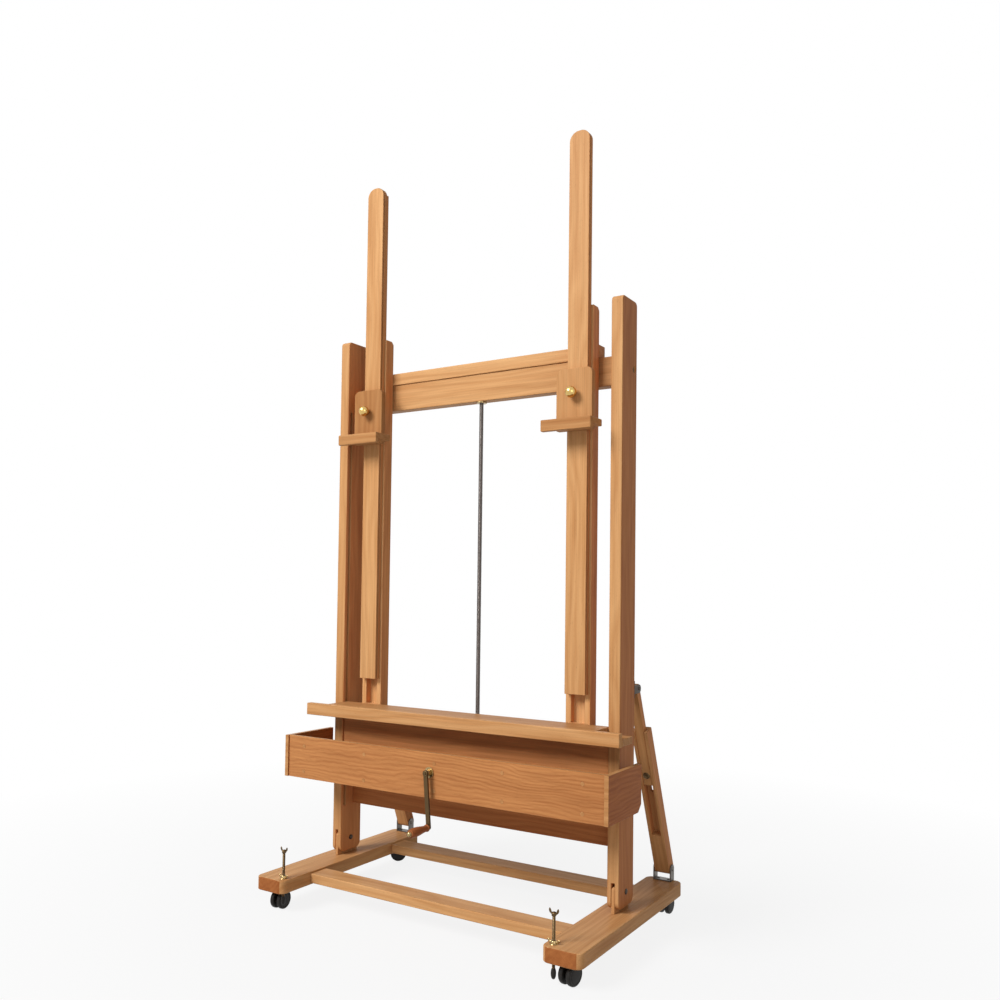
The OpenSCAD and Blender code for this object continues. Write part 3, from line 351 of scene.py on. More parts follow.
def grouped_material(name, group, turn, place, sockets, bump, **shader_values):
    """A material whose colour, roughness and bump come from one node group."""
    material, g, shader = blank_material(name)
    coords = g.node("ShaderNodeTexCoord").outputs["Object"]
    mapping = g.node("ShaderNodeMapping", Vector=coords, Rotation=turn, Location=place)
    figure = g.node("ShaderNodeGroup", node_tree=group)
    g.feed(figure.inputs["Vector"], mapping.outputs[0])
    for key, value in sockets.items():
        g.feed(figure.inputs[key], value)
    g.feed(shader.inputs["Base Color"], figure.outputs["Color"])
    g.feed(shader.inputs["Roughness"], figure.outputs["Roughness"])
    relief = g.node(
        "ShaderNodeBump", Height=figure.outputs["Height"], Strength=bump, Distance=BUMP_DISTANCE
    )
    g.feed(shader.inputs["Normal"], relief.outputs[0])
    for key, value in shader_values.items():
        shader.inputs[key.replace("_", " ")].default_value = value
    return material


GRAIN_TURN = {"x": (0, 0, 0), "y": (0, 0, -math.pi / 2), "z": (0, math.pi / 2, 0)}


def rgba(values):
    """A colour with full alpha."""
    return (values[0], values[1], values[2], 1.0)


def deepened(tint, shade):
    """A wood colour made deeper: green and blue fall faster than red, as under oil."""
    return [min(c * shade ** power, 1.0) for c, power in zip(tint, DEEPENING)]


def beech(name, along, seed, shade=1.0, lean=0.0, figure=0.6, shade_and_end_grain=False, grip=False):
    """Oiled beech with its grain along an axis; lean turns a vertical grain back, in radians."""
    wood = bpy.context.scene.easel_wood
    turn = (lean, math.pi / 2, 0) if lean else GRAIN_TURN[along]
    light, dark = wood.beech_light, wood.beech_dark
    # The deeper, redder tone is painted shade on faces and boards turned from the lamps; on the runners' ends it
    # is their darker end grain.
    if shade_and_end_grain:
        light, dark = wood.shade_and_end_grain_light, wood.shade_and_end_grain_dark
    if grip:
        light, dark = wood.grip, deepened(wood.grip, 0.7)
    sockets = {
        "Light": rgba(deepened(light, shade)), "Dark": rgba(deepened(dark, shade)),
        "Figure": figure,
    }
    place = (0.37 * seed, 0.11 * seed, 0.23 * seed)
    return grouped_material(
        name, bpy.data.node_groups["Solid Wood"], turn, place, sockets, WOOD_BUMP,
        Specular_IOR_Level=WOOD_GLOSS,
    )


def plywood(name, along, seed, shade=1.0, warmth=1.0):
    """Reddish veneer with a wavy figure; warmth above 1 takes green and blue out."""
    wood = bpy.context.scene.easel_wood
    cut = (1.0, 1.0 / warmth, 1.0 / warmth ** 2)
    light = [c * k for c, k in zip(deepened(wood.ply_light, shade), cut)]
    dark = [c * k for c, k in zip(deepened(wood.ply_dark, shade), cut)]
    sockets = {"Light": rgba(light), "Dark": rgba(dark)}
    return grouped_material(
        name, bpy.data.node_groups["Rotary Veneer"], GRAIN_TURN[along],
        (0.41 * seed, 0.17 * seed, 0.29 * seed), sockets, WOOD_BUMP,
        Specular_IOR_Level=WOOD_GLOSS,
    )


def metal(name, tint, smooth, rough):
    """Worn metal: smears and fine scratches over a plain tint."""
    sockets = {
        "Clean": rgba(tint), "Dull": rgba([c * 0.8 for c in tint]),
        "Smooth": smooth, "Rough": rough, "Grain": METAL_GRAIN,
    }
    return grouped_material(
        name, bpy.data.node_groups["Handling Wear"], (0, 0, 0), (0, 0, 0), sockets, METAL_BUMP,
        Metallic=1.0,
    )


def plastic(name, tint, smooth, rough, bump):
    """Moulded plastic or rubber with a fine grain."""
    sockets = {
        "Clean": rgba(tint), "Dull": rgba([c * 1.6 + 0.004 for c in tint]),
        "Smooth": smooth, "Rough": rough, "Grain": PLASTIC_GRAIN,
    }
    return grouped_material(
        name, bpy.data.node_groups["Handling Wear"], (0, 0, 0), (0, 0, 0), sockets, bump,
        Specular_IOR_Level=PLASTIC_GLOSS,
    )


# Surfaces


def placed(name, data):
    """A new object in the scene."""
    made = bpy.data.objects.new(name, data)
    bpy.context.scene.collection.objects.link(made)
    return made


def make_piece(name, verts, faces, material, node):
    """Puts arrays into a mesh object at the origin that rides with a CAD node's body."""
    mesh = bpy.data.meshes.new(name)
    mesh.from_pydata(np.asarray(verts).tolist(), [], faces)
    mesh.polygons.foreach_set("use_smooth", np.ones(len(mesh.polygons), bool))
    mesh.materials.append(material)
    mesh.update()
    piece = placed(name, mesh)
    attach(piece, BODY_OF[node])
    return piece


def grid_faces(rows, columns):
    """Quads of a grid of rows x columns vertices, closed round its columns."""
    r, c = np.meshgrid(np.arange(rows - 1), np.arange(columns), indexing="ij")
    here, above = r * columns, (r + 1) * columns
    n = (c + 1) % columns
    quads = np.stack([here + c, here + n, above + n, above + c], -1)
    return quads.reshape(-1, 4).tolist()


def closed_grid(points):
    """Vertices and faces of a tube given as rings of points, with flat end caps."""
    rows, columns = points.shape[:2]
    faces = grid_faces(rows, columns)
    faces.append(list(range(columns))[::-1])
    faces.append([(rows - 1) * columns + i for i in range(columns)])
    return points.reshape(-1, 3), faces


def rounded_box(lo, hi, radius):
    """A box with eased edges.

    Rings of a rounded rectangle are carried along the longest side. At distance
    r(1 - cos p) from an end, the ring is drawn in by r(1 - sin p), so the
    edges at both ends are quarter rounds too.
    """
    lo, hi = np.array(lo, float), np.array(hi, float)
    size = hi - lo
    axis = int(np.argmax(size))
    u, v = [(1, 2), (2, 0), (0, 1)][axis]
    r = min(radius, size[u] / 2.1, size[v] / 2.1, size[axis] / 2.1)
    p = np.linspace(0, math.pi / 2, EASE_STEPS + 1)
    inset = r * (1 - np.sin(p))
    along = r * (1 - np.cos(p))
    rings = np.concatenate([inset, inset[::-1]])
    places = np.concatenate([lo[axis] + along, hi[axis] - along[::-1]])
    corner = np.repeat(np.arange(4), EASE_STEPS + 1)
    angle = np.tile(p, 4) + corner * math.pi / 2
    su = np.where((corner == 0) | (corner == 3), 1, -1)
    sv = np.where(corner < 2, 1, -1)
    bend = (r - rings)[:, None]
    cu = su[None, :] * (size[u] / 2 - r)
    cv = sv[None, :] * (size[v] / 2 - r)
    points = np.zeros((len(rings), len(angle), 3))
    points[:, :, u] = (lo[u] + hi[u]) / 2 + cu + bend * np.cos(angle)[None, :]
    points[:, :, v] = (lo[v] + hi[v]) / 2 + cv + bend * np.sin(angle)[None, :]
    points[:, :, axis] = places[:, None]
    return closed_grid(points)


def lathe(profile, centre, axis=(0, 0, 1), columns=48, flutes=0, flute_depth=0.0):
    """A turned piece: radius and height pairs carried round an axis through centre.

    With flutes, the radius is multiplied by 1 - d(1 - cos(n t)) / 2 at angle t.
    """
    w = np.array(axis, float) / np.linalg.norm(axis)
    u = np.cross(w, (1.0, 0.0, 0.0) if abs(w[0]) < 0.9 else (0.0, 1.0, 0.0))
    u /= np.linalg.norm(u)
    v = np.cross(w, u)
    profile = np.array(profile, float)
    t = np.arange(columns) * 2 * math.pi / columns
    wave = 1 - flute_depth * (1 - np.cos(flutes * t)) / 2
    radius = profile[:, 0][:, None] * wave[None, :]
    height = np.repeat(profile[:, 1][:, None], columns, 1)
    around = np.cos(t)[None, :, None] * u + np.sin(t)[None, :, None] * v
    points = radius[:, :, None] * around + height[:, :, None] * w + np.array(centre)
    return closed_grid(points)


def wing(root, bend, tip, widths, thick, steps=14, columns=16):
    """A cast wing in the XZ plane, rounded at its tip.

    Its middle line is the quadratic curve (1-k)^2 root + 2k(1-k) bend + k^2 tip. Round it
    goes an ellipse, as wide as the widths say along the curve and thick along Y, drawn in
    by sqrt(1 - e^2) over the last part.
    """
    k = np.linspace(0, 1, steps)[:, None]
    a, b, c = (np.array(p, float) for p in (root, bend, tip))
    line = (1 - k) ** 2 * a + 2 * k * (1 - k) * b + k ** 2 * c
    run = 2 * (1 - k) * (b - a) + 2 * k * (c - b)
    run /= np.linalg.norm(run, axis=1)[:, None]
    side = np.stack([run[:, 2], run[:, 1], -run[:, 0]], -1)
    end = np.sqrt(np.clip(1 - np.clip((k - 0.72) / 0.29, 0, 1) ** 2, 0.02, 1))
    half = np.interp(k[:, 0], np.linspace(0, 1, len(widths)), widths)[:, None] / 2 * end
    t = (np.arange(columns) * 2 * math.pi / columns)[None, :, None]
    points = line[:, None] + half[:, None] * np.cos(t) * side[:, None]
    points = points + np.sin(t) * (thick / 2 * end)[:, None] * np.array((0.0, 1.0, 0.0))
    verts, faces = closed_grid(points)
    return verts, faces if side[0, 2] * run[0, 0] < 0 else [f[::-1] for f in faces]


def dome(r, height, start=0.0, steps=7):
    """Radius and height pairs on a quarter ellipse, from a dome's rim at start to its top."""
    a = np.linspace(0, math.pi / 2, steps)
    return [(r * math.cos(k), start + height * math.sin(k)) for k in a]


def arc(cx, cy, r, start, end, steps=8):
    """Radius and height pairs on an arc, its angles in degrees."""
    a = np.radians(np.linspace(start, end, steps))
    return [(cx + r * math.cos(k), cy + r * math.sin(k)) for k in a]


def thread(centre, z0, z1, r_out, depth, lead, starts, columns=24, per_pitch=4):
    """A threaded rod along Z: r = r_out - d * w, where w is a clipped triangle wave
    of starts * angle / (2 pi) - z / pitch, so crests climb one lead in a turn."""
    pitch = lead / starts
    rows = int((z1 - z0) / pitch * per_pitch) + 1
    z = np.linspace(z0, z1, rows)[:, None]
    t = (np.arange(columns) * 2 * math.pi / columns)[None, :]
    phase = (z / pitch - starts * t / (2 * math.pi)) % 1.0
    wave = np.clip(np.abs(phase - 0.5) * 3.2 - 0.3, 0, 1)
    fade = np.clip(np.minimum(z - z0, z1 - z) / pitch, 0, 1)
    r = r_out - depth * (1 - (1 - wave) * fade)
    points = np.stack([centre[0] + r * np.cos(t), centre[1] + r * np.sin(t), z + 0 * t], -1)
    return closed_grid(points)


def joined(parts):
    """One vertex array and face list out of several."""
    verts, faces, start = [], [], 0
    for v, f in parts:
        verts.append(np.asarray(v))
        faces += [[i + start for i in face] for face in f]
        start += len(v)
    return np.concatenate(verts), faces


def merged_copy(node):
    """A clean copy of a CAD node's mesh: doubles merged and flat faces joined."""
    work = bmesh.new()
    work.from_mesh(NODES[node].data)
    bmesh.ops.remove_doubles(work, verts=work.verts, dist=MERGE)
    bmesh.ops.dissolve_limit(
        work, angle_limit=FLAT, verts=work.verts, edges=work.edges, delimit={"NORMAL"}
    )
    return work


def islands(node):
    """The lowest and highest corners of each separate solid of a CAD node."""
    work = merged_copy(node)
    left, boxes = set(work.verts), []
    while left:
        stack = [left.pop()]
        found = list(stack)
        while stack:
            for edge in stack.pop().link_edges:
                for vert in edge.verts:
                    if vert in left:
                        left.discard(vert)
                        stack.append(vert)
                        found.append(vert)
        points = np.array([v.co for v in found])
        boxes.append((points.min(0), points.max(0)))
    work.free()
    return sorted(boxes, key=lambda b: tuple(np.round(b[0], 5)))


def eased_copy(node, radius, material, angle=25.0):
    """The CAD node's own shape, its edges past the angle eased, in place of the node."""
    work = merged_copy(node)
    mesh = bpy.data.meshes.new(node + "_eased")
    work.to_mesh(mesh)
    work.free()
    mesh.materials.append(material)
    piece = placed(mesh.name, mesh)
    mesh.polygons.foreach_set("use_smooth", np.ones(len(mesh.polygons), bool))
    ease = piece.modifiers.new("Ease", "BEVEL")
    ease.width = radius
    ease.segments = EASE_STEPS
    ease.limit_method = "ANGLE"
    ease.angle_limit = math.radians(angle)
    ease.use_clamp_overlap = False
    piece.modifiers.new("Normals", "WEIGHTED_NORMAL").weight = WEIGHTED
    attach(piece, BODY_OF[node])
    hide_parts(node)
    return piece


def edged(piece, material, axes):
    """Gives the faces that look along the given axes a second material."""
    mesh = piece.data
    mesh.materials.append(material)
    normals = np.zeros(len(mesh.polygons) * 3)
    mesh.polygons.foreach_get("normal", normals)
    normals = np.abs(normals.reshape(-1, 3))
    chosen = np.any(normals[:, list(axes)] > FACING, axis=1)
    mesh.polygons.foreach_set("material_index", chosen.astype(np.int32))


def timber(node, radius, along, seed, shade, sides=(0,), side_shade=1.0, lean=0.0):
    """A CAD node as eased beech; faces on the given axes take the deeper, redder tone, which is painted shade on
    side faces and the darker end grain on ends.
    """
    piece = eased_copy(node, radius, beech("beech_" + node, along, seed, shade, lean=lean))
    deeper = beech("heart_" + node, along, seed + SIDE_SEED, side_shade, lean=lean, shade_and_end_grain=True)
    edged(piece, deeper, sides)


def boards(node, radius, material):
    """Each solid of a CAD node as a board with eased edges, in place of the node."""
    parts = [rounded_box(lo, hi, radius) for lo, hi in islands(node)]
    piece = make_piece(node + "_boards", *joined(parts), material, node)
    piece.modifiers.new("Normals", "WEIGHTED_NORMAL").weight = WEIGHTED
    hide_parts(node)


def turned(name, parts, material, node, instead=True):
    """Lathe parts joined into one piece that stands for a CAD node, or rides with it."""
    piece = make_piece(name, *joined(parts), material, node)
    piece.modifiers.new("Edges", "EDGE_SPLIT").split_angle = CREASE
    if instead:
        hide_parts(node)


# Operators: one for each group of pieces


class EASEL_OT_groups(bpy.types.Operator):
    """Builds the shader node groups that the materials share"""

    bl_idname = "easel.groups"
    bl_label = "Shader groups"

    def execute(self, context):
        wood_group()
        veneer_group()
        wear_group()
        return {"FINISHED"}


class EASEL_OT_base(bpy.types.Operator):
    """Runners, cross rails, tongues and foot brackets"""

    bl_idname = "easel.base"
    bl_label = "Base"

    def execute(self, context):
        metals = context.scene.easel_metal
        for i, side in enumerate(SIDES):
            timber("runner_" + side, 3.0 * MM, "y", 3 + i, 0.88, sides=(1,), side_shade=0.6)
        boards("cross_rails", 2.4 * MM, beech("beech_rails", "x", 7, 0.92))
        eased_copy("post_tongues", 1.0 * MM, beech("beech_tongues", "z", 9, 0.8))
        steel = metal("zinc_plate", metals.steel, 0.28, 0.48)
        eased_copy("foot_brackets", 0.5 * MM, steel)
        return {"FINISHED"}


class EASEL_OT_frame(bpy.types.Operator):
    """Posts, crossbar, lower board and the brackets behind the posts"""

    bl_idname = "easel.frame"
    bl_label = "Fixed frame"

    def execute(self, context):
        edge = context.scene.easel_wood.edge
        for i, side in enumerate(SIDES):
            # Painted shade on the posts' side faces: the right post's outer side at 0.8, the left post's inner
            # side at 1.02.
            side_shade = (1.02, 0.8)[i]
            timber("post_" + side, 2.8 * MM, "z", 11 + i, 0.84, side_shade=side_shade)
        eased_copy("crossbar", edge, beech("beech_crossbar", "x", 15, 0.84))
        # The lower board is wholly in the deeper, redder tone: painted shade under the lip.
        eased_copy("lower_board", edge, beech("beech_lower_board", "x", 16, 0.8, shade_and_end_grain=True))
        dark = metal("browned_steel", context.scene.easel_metal.dark_steel, 0.32, 0.5)
        eased_copy("head_brackets", 0.5 * MM, dark)
        self.bolts(dark)
        return {"FINISHED"}

    def bolts(self, dark):
        """Pivot bolts with a low round head outside and a dome nut inside the post,
        and crossbar bolts whose heads lie in their counterbores."""
        pivot_r, head_r, head_high = 4.9 * MM, 7.5 * MM, 2.6 * MM
        nut_r, nut_high, cap_r, cap_high = 7.0 * MM, 2.0 * MM, 6.0 * MM, 3.6 * MM
        bolt_r, bolt_deep, counterbore = 3.9 * MM, 40.0 * MM, 7.0 * MM
        sunk_r, sunk_high = 6.3 * MM, 2.4 * MM
        pivot = JOINTS["frame_tilt"]["pos_m"]
        bar_lo, bar_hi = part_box("crossbar")
        bar_y, bar_z = (bar_lo.y + bar_hi.y) / 2, (bar_lo.z + bar_hi.z) / 2
        parts = []
        for side, way in zip(SIDES, (-1, 1)):
            lo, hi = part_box("post_" + side)
            inner, outer = (hi.x, lo.x) if way < 0 else (lo.x, hi.x)
            width = abs(outer - inner)
            head = dome(head_r, head_high, width + 0.2 * MM)
            shaft = [(pivot_r, -2.0 * MM), (pivot_r, width), (head_r, width)]
            parts.append(lathe(shaft + head, (inner, pivot[1], pivot[2]), (way, 0, 0)))
            nut = [(nut_r, 0.0), (nut_r, nut_high)] + dome(cap_r, cap_high, nut_high + 0.2 * MM)
            parts.append(lathe(nut, (inner, pivot[1], pivot[2]), (-way, 0, 0)))
            sunk = width - counterbore
            bolt = [(bolt_r, -bolt_deep), (bolt_r, sunk), (sunk_r, sunk + 0.2 * MM)]
            bolt += dome(sunk_r, sunk_high, sunk + 1.4 * MM)
            parts.append(lathe(bolt, (inner, bar_y, bar_z), (way, 0, 0)))
        turned("frame_bolts_round", parts, dark, "frame_bolts")


class EASEL_OT_shelf(bpy.types.Operator):
    """Lip, shelf boards and back board"""

    bl_idname = "easel.shelf"
    bl_label = "Shelf"

    def execute(self, context):
        edge = context.scene.easel_wood.edge
        boards("shelf_lip", 2.0 * MM, beech("beech_lip", "x", 21, 0.88))
        eased_copy("shelf_board", edge, beech("beech_shelf", "x", 22, 0.7))
        boards("canvas_shelf", edge, beech("beech_canvas_shelf", "x", 23, 0.7))
        # The back board takes the deeper, redder tone as painted shade under the shelf, and is brightened to 1.1
        # as painted light that makes up for the shelf's shadow.
        eased_copy("back_board", 1.0 * MM, beech("beech_back_board", "x", 24, 1.1, shade_and_end_grain=True))
        return {"FINISHED"}


class EASEL_OT_tray(bpy.types.Operator):
    """Tray of reddish plywood with a pale edging, and its dowels"""

    bl_idname = "easel.tray"
    bl_label = "Tray"

    def execute(self, context):
        edge = context.scene.easel_wood.ply_edge
        pale = beech("beech_edging", "x", 33, 0.74)
        edged(eased_copy("tray_front", edge, plywood("ply_front", "x", 31, 1.04)), pale, (2,))
        # The tray's end boards are deeper and redder than its front, 0.86 with warmth 1.2: painted shade on the
        # ends.
        edged(eased_copy("tray_ends", edge, plywood("ply_ends", "y", 34, 0.86, 1.2)), pale, (1, 2))
        eased_copy("tray_floor_panel", edge, plywood("ply_inside", "x", 35, 0.9))
        edged(eased_copy("tray_dividers", edge, plywood("ply_dividers", "y", 36, 0.9)), pale, (2,))
        eased_copy("tray_dowels", 0.4 * MM, beech("dowel_ends", "y", 37, 0.72))
        eased_copy("gear_housing", 2.0 * MM, beech("beech_housing", "x", 38, 0.75))
        return {"FINISHED"}


class EASEL_OT_masts(bpy.types.Operator):
    """Masts, moving rail, planks, holders and ledges"""

    bl_idname = "easel.masts"
    bl_label = "Masts and planks"

    def execute(self, context):
        edge = context.scene.easel_wood.edge
        eased_copy("top_rail", edge, beech("beech_top_rail", "x", 41, 0.92))
        for i, side in enumerate(SIDES):
            # The masts' and planks' side faces take the deeper, redder tone of painted shade; the masts are also
            # brightened, 1.06 and 1.12 on their sides, as painted light where the planks shade them.
            timber("mast_" + side, edge, "z", 43 + i, 1.06, side_shade=1.12)
            timber("plank_" + side, 1.4 * MM, "z", 45 + i, 0.87)
            shade = (0.6, 0.74)[i]
            holder = beech("beech_holder_" + side, "z", 47 + i, shade, figure=0.35)
            eased_copy("holder_" + side, 2.2 * MM, holder)
            eased_copy("ledge_" + side, 2.6 * MM, beech("beech_ledge_" + side, "x", 49 + i, 0.7))
        return {"FINISHED"}


class EASEL_OT_braces(bpy.types.Operator):
    """Lower and upper braces, their lock knobs and the knobs behind the masts"""

    bl_idname = "easel.braces"
    bl_label = "Braces"

    def execute(self, context):
        axis = JOINTS["brace_left_slide"]["axis"]
        lean = math.atan2(-axis[1], axis[2])
        metals = context.scene.easel_metal
        black = plastic("black_knob", metals.black, 0.32, 0.5, 0.1)
        bronze = metal("lock_bronze", metals.bronze, 0.3, 0.5)
        for i, side in enumerate(SIDES):
            # The braces' and sliders' side faces take the deeper, redder tone of painted shade.
            timber("brace_" + side, 1.6 * MM, "z", 51 + i, 0.82, lean=-lean)
            timber("slider_" + side, 1.2 * MM, "z", 53 + i, 0.78, lean=-lean)
            self.lock(side, bronze)
            self.star(side, black)
        return {"FINISHED"}

    def lock(self, side, bronze):
        """The lock bolt: a low dome in front, a shaft, and a five-lobed knob behind."""
        joint = JOINTS["brace_knob_%s_turn" % side]
        axis, place = np.array(joint["axis"]), np.array(joint["pos_m"])
        points = np.array([v.co for v in NODES["brace_knob_" + side].data.vertices])
        along = (points - place) @ axis
        back, front = along.max(), along.min()
        shaft_r, rim_r, head_r, head_high = 3.9 * MM, 9.0 * MM, 9.6 * MM, 3.1 * MM
        under = front + 3.4 * MM
        shaft = [(shaft_r, back - 6 * MM), (shaft_r, under), (rim_r, under)]
        head = [(r, under - 0.2 * MM - h) for r, h in dome(head_r, head_high)]
        parts = [lathe((shaft + head)[::-1], place, axis)]
        bore, washer_r = 4.2 * MM, 9.8 * MM
        low, high = back - 18.2 * MM, back - 14 * MM
        washer = [(bore, low), (washer_r, low), (washer_r, high), (bore, high + 0.2 * MM)]
        parts.append(lathe(washer, place, axis))
        r, deep, lobes, hollow = 14.0 * MM, 13.0 * MM, 5, 0.24
        lower, upper = 2.4 * MM, 3.4 * MM
        knob = [(r * 0.55, back - deep - 0.2 * MM), (r * 0.9, back - deep + 0.6 * MM)]
        knob += arc(r - lower, back - deep + 4 * MM, lower, -60, 0, 5)
        knob += arc(r - upper, back - upper, upper, 0, 84, 7) + [(r * 0.3, back)]
        parts.append(lathe(knob, place, axis, 60, lobes, hollow))
        turned("brace_knob_%s_lobed" % side, parts, bronze, "brace_knob_" + side)

    def star(self, side, black):
        """The clamp knob behind a mast: a collar, a shaft and a six-lobed head."""
        place = np.array(JOINTS["mast_knob_%s_turn" % side]["pos_m"])
        lo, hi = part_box("mast_knob_" + side)
        back = (0, 1, 0)
        shaft_r, bore, neck_deep = 3.9 * MM, 4.2 * MM, 7 * MM
        r, deep, lobes, hollow = (hi.x - lo.x) / 2, 18.0 * MM, 6, 0.26
        top, root = hi.y - place[1], lo.y - place[1]
        collar = top - deep
        parts = [lathe([(shaft_r, root), (shaft_r, collar + 2 * MM)], place, back)]
        neck = [(bore, collar - neck_deep), (8.0 * MM, collar - neck_deep), (7.4 * MM, collar)]
        parts.append(lathe(neck + [(bore, collar + 1 * MM)], place, back))
        lower, upper = 3 * MM, 4.5 * MM
        head = [(7 * MM, collar), (r * 0.86, collar + 1.4 * MM)]
        head += arc(r - lower, collar + 5 * MM, lower, -50, 0, 5)
        head += arc(r - upper, top - upper, upper, 0, 80, 7) + [(r * 0.3, top)]
        parts.append(lathe(head, place, back, 72, lobes, hollow))
        turned("mast_knob_%s_lobed" % side, parts, black, "mast_knob_" + side)


class EASEL_OT_drive(bpy.types.Operator):
    """Lead screw, nut, bushes, gears, crank and grip"""

    bl_idname = "easel.drive"
    bl_label = "Lift drive"

    def execute(self, context):
        metals = context.scene.easel_metal
        brass = metal("aged_brass", metals.aged, 0.2, 0.38)
        steel = metal("screw_steel", metals.screw, 0.3, 0.5)
        for node in ("crank_shaft", "screw_bevel", "screw_nut", "shaft_bushes"):
            eased_copy(node, 0.6 * MM, brass)
        self.arm(metal("crank_bronze", metals.bronze, 0.36, 0.54))
        self.rod(steel, metals.screw_lead)
        self.grip(brass)
        return {"FINISHED"}

    def arm(self, bronze):
        """The crank arm stays flat-shaded: its faces run round a bore, and smooth normals
        would bend across them."""
        arm = eased_copy("crank_arm", 0.5 * MM, bronze, angle=60)
        arm.modifiers.remove(arm.modifiers["Normals"])
        arm.data.polygons.foreach_set("use_smooth", np.zeros(len(arm.data.polygons), bool))

    def rod(self, steel, lead):
        """The lead screw, a rod with a thread of four starts."""
        starts, depth = 4, 0.7 * MM
        lo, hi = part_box("lead_screw")
        centre = ((lo.x + hi.x) / 2, (lo.y + hi.y) / 2)
        rod = thread(centre, lo.z, hi.z, (hi.x - lo.x) / 2, depth, lead, starts)
        screw = make_piece("lead_screw_threaded", *rod, steel, "lead_screw")
        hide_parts("lead_screw")

    def grip(self, brass):
        """A turned handle with a bead by the arm. Its radius is r times
        0.66 + 0.34 sin(a)^1.6, where a goes from 0 to a quarter turn over its first three
        quarters, less up to 0.14 with the square of the way from there to its end."""
        lo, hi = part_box("crank_grip")
        centre = ((lo.x + hi.x) / 2, hi.y, (lo.z + hi.z) / 2)
        n, r = hi.y - lo.y, (hi.x - lo.x) / 2
        bore = 3.2 * MM
        front = (0, -1, 0)
        t = np.linspace(0, 1, 29)
        swell = 0.66 + 0.34 * np.sin(math.pi / 2 * np.clip(t / 0.74, 0, 1)) ** 1.6
        swell = swell - 0.14 * np.clip((t - 0.78) / 0.22, 0, 1) ** 2
        body = [(r * s, n * (0.13 + 0.82 * k)) for k, s in zip(t, swell)]
        profile = [(bore, 0), (r * 0.50, 0)] + arc(r * 0.55, n * 0.055, r * 0.24, -80, 80, 9)
        profile += body + arc(r * 0.72, n * 0.962, r * 0.13, 0, 80, 5) + [(bore, n)]
        stained = beech("stained_grip", "y", 61, 1.0, grip=True)
        turned("crank_grip_turned", [lathe(profile, centre, front)], stained, "crank_grip")
        cap = [(6.2 * MM, n + 0.6 * MM), (6.8 * MM, n + 1.6 * MM)]
        cap += dome(6.4 * MM, 4.6 * MM, n + 2.2 * MM)
        nut = lathe(cap, centre, front)
        turned("crank_cap_nut", [nut], brass, "crank_arm", instead=False)


class EASEL_OT_knobs(bpy.types.Operator):
    """Brass ball knobs on the holders"""

    bl_idname = "easel.knobs"
    bl_label = "Ball knobs"

    def execute(self, context):
        brass = metal("ball_brass", context.scene.easel_metal.brass, 0.12, 0.28)
        for side in SIDES:
            eased_copy("ball_knob_" + side, 0.4 * MM, brass, angle=50)
        return {"FINISHED"}


class EASEL_OT_casters(bpy.types.Operator):
    """Swivelling casters with their domed twin wheels"""

    bl_idname = "easel.casters"
    bl_label = "Casters"

    def execute(self, context):
        metals = context.scene.easel_metal
        black = plastic("black_caster", metals.black, 0.34, 0.52, 0.1)
        rubber = plastic("black_tread", metals.black, 0.42, 0.65, 0.2)
        for side in SIDES:
            for end in ("front", "rear"):
                eased_copy("fork_%s_%s" % (end, side), 1.2 * MM, black)
                self.wheels("%s_%s" % (end, side), rubber)
        return {"FINISHED"}

    def wheels(self, place, rubber):
        """Two wheels on an axle: a rounded tread, a groove inside it and a domed hub."""
        joint = JOINTS["roll_" + place]
        axis, centre = np.array(joint["axis"]), np.array(joint["pos_m"])
        points = np.array([v.co for v in NODES["wheels_" + place].data.vertices])
        r = centre[2] - points[:, 2].min()
        half = np.abs((points - centre) @ axis).max()
        bore, axle_r, inner = 4.2 * MM, 3.9 * MM, 5.0 * MM
        inside, outside = 3.6 * MM, 4.6 * MM
        hub_r, hub_high = r * 0.66, 0.9 * MM
        profile = [(bore, inner), (r * 0.84, inner)]
        profile += arc(r - inside, inner + inside, inside, -80, 0, 6)
        profile += arc(r - outside, half - 4.9 * MM, outside, 0, 82, 8)
        profile += [(r * 0.78, half - 1.3 * MM), (r * 0.72, half - 1.5 * MM)]
        rim, rise = half - hub_high, np.linspace(0.2, 1.35, 7)
        profile += [(hub_r, rim)]
        profile += [(hub_r * math.cos(a), rim + hub_high * math.sin(a)) for a in rise]
        parts = [lathe(profile, centre, way * axis, 64) for way in (1, -1)]
        reach = inner + 1 * MM
        parts.append(lathe([(axle_r, -reach), (axle_r, reach)], centre, axis))
        turned("twin_wheels_" + place, parts, rubber, "wheels_" + place)


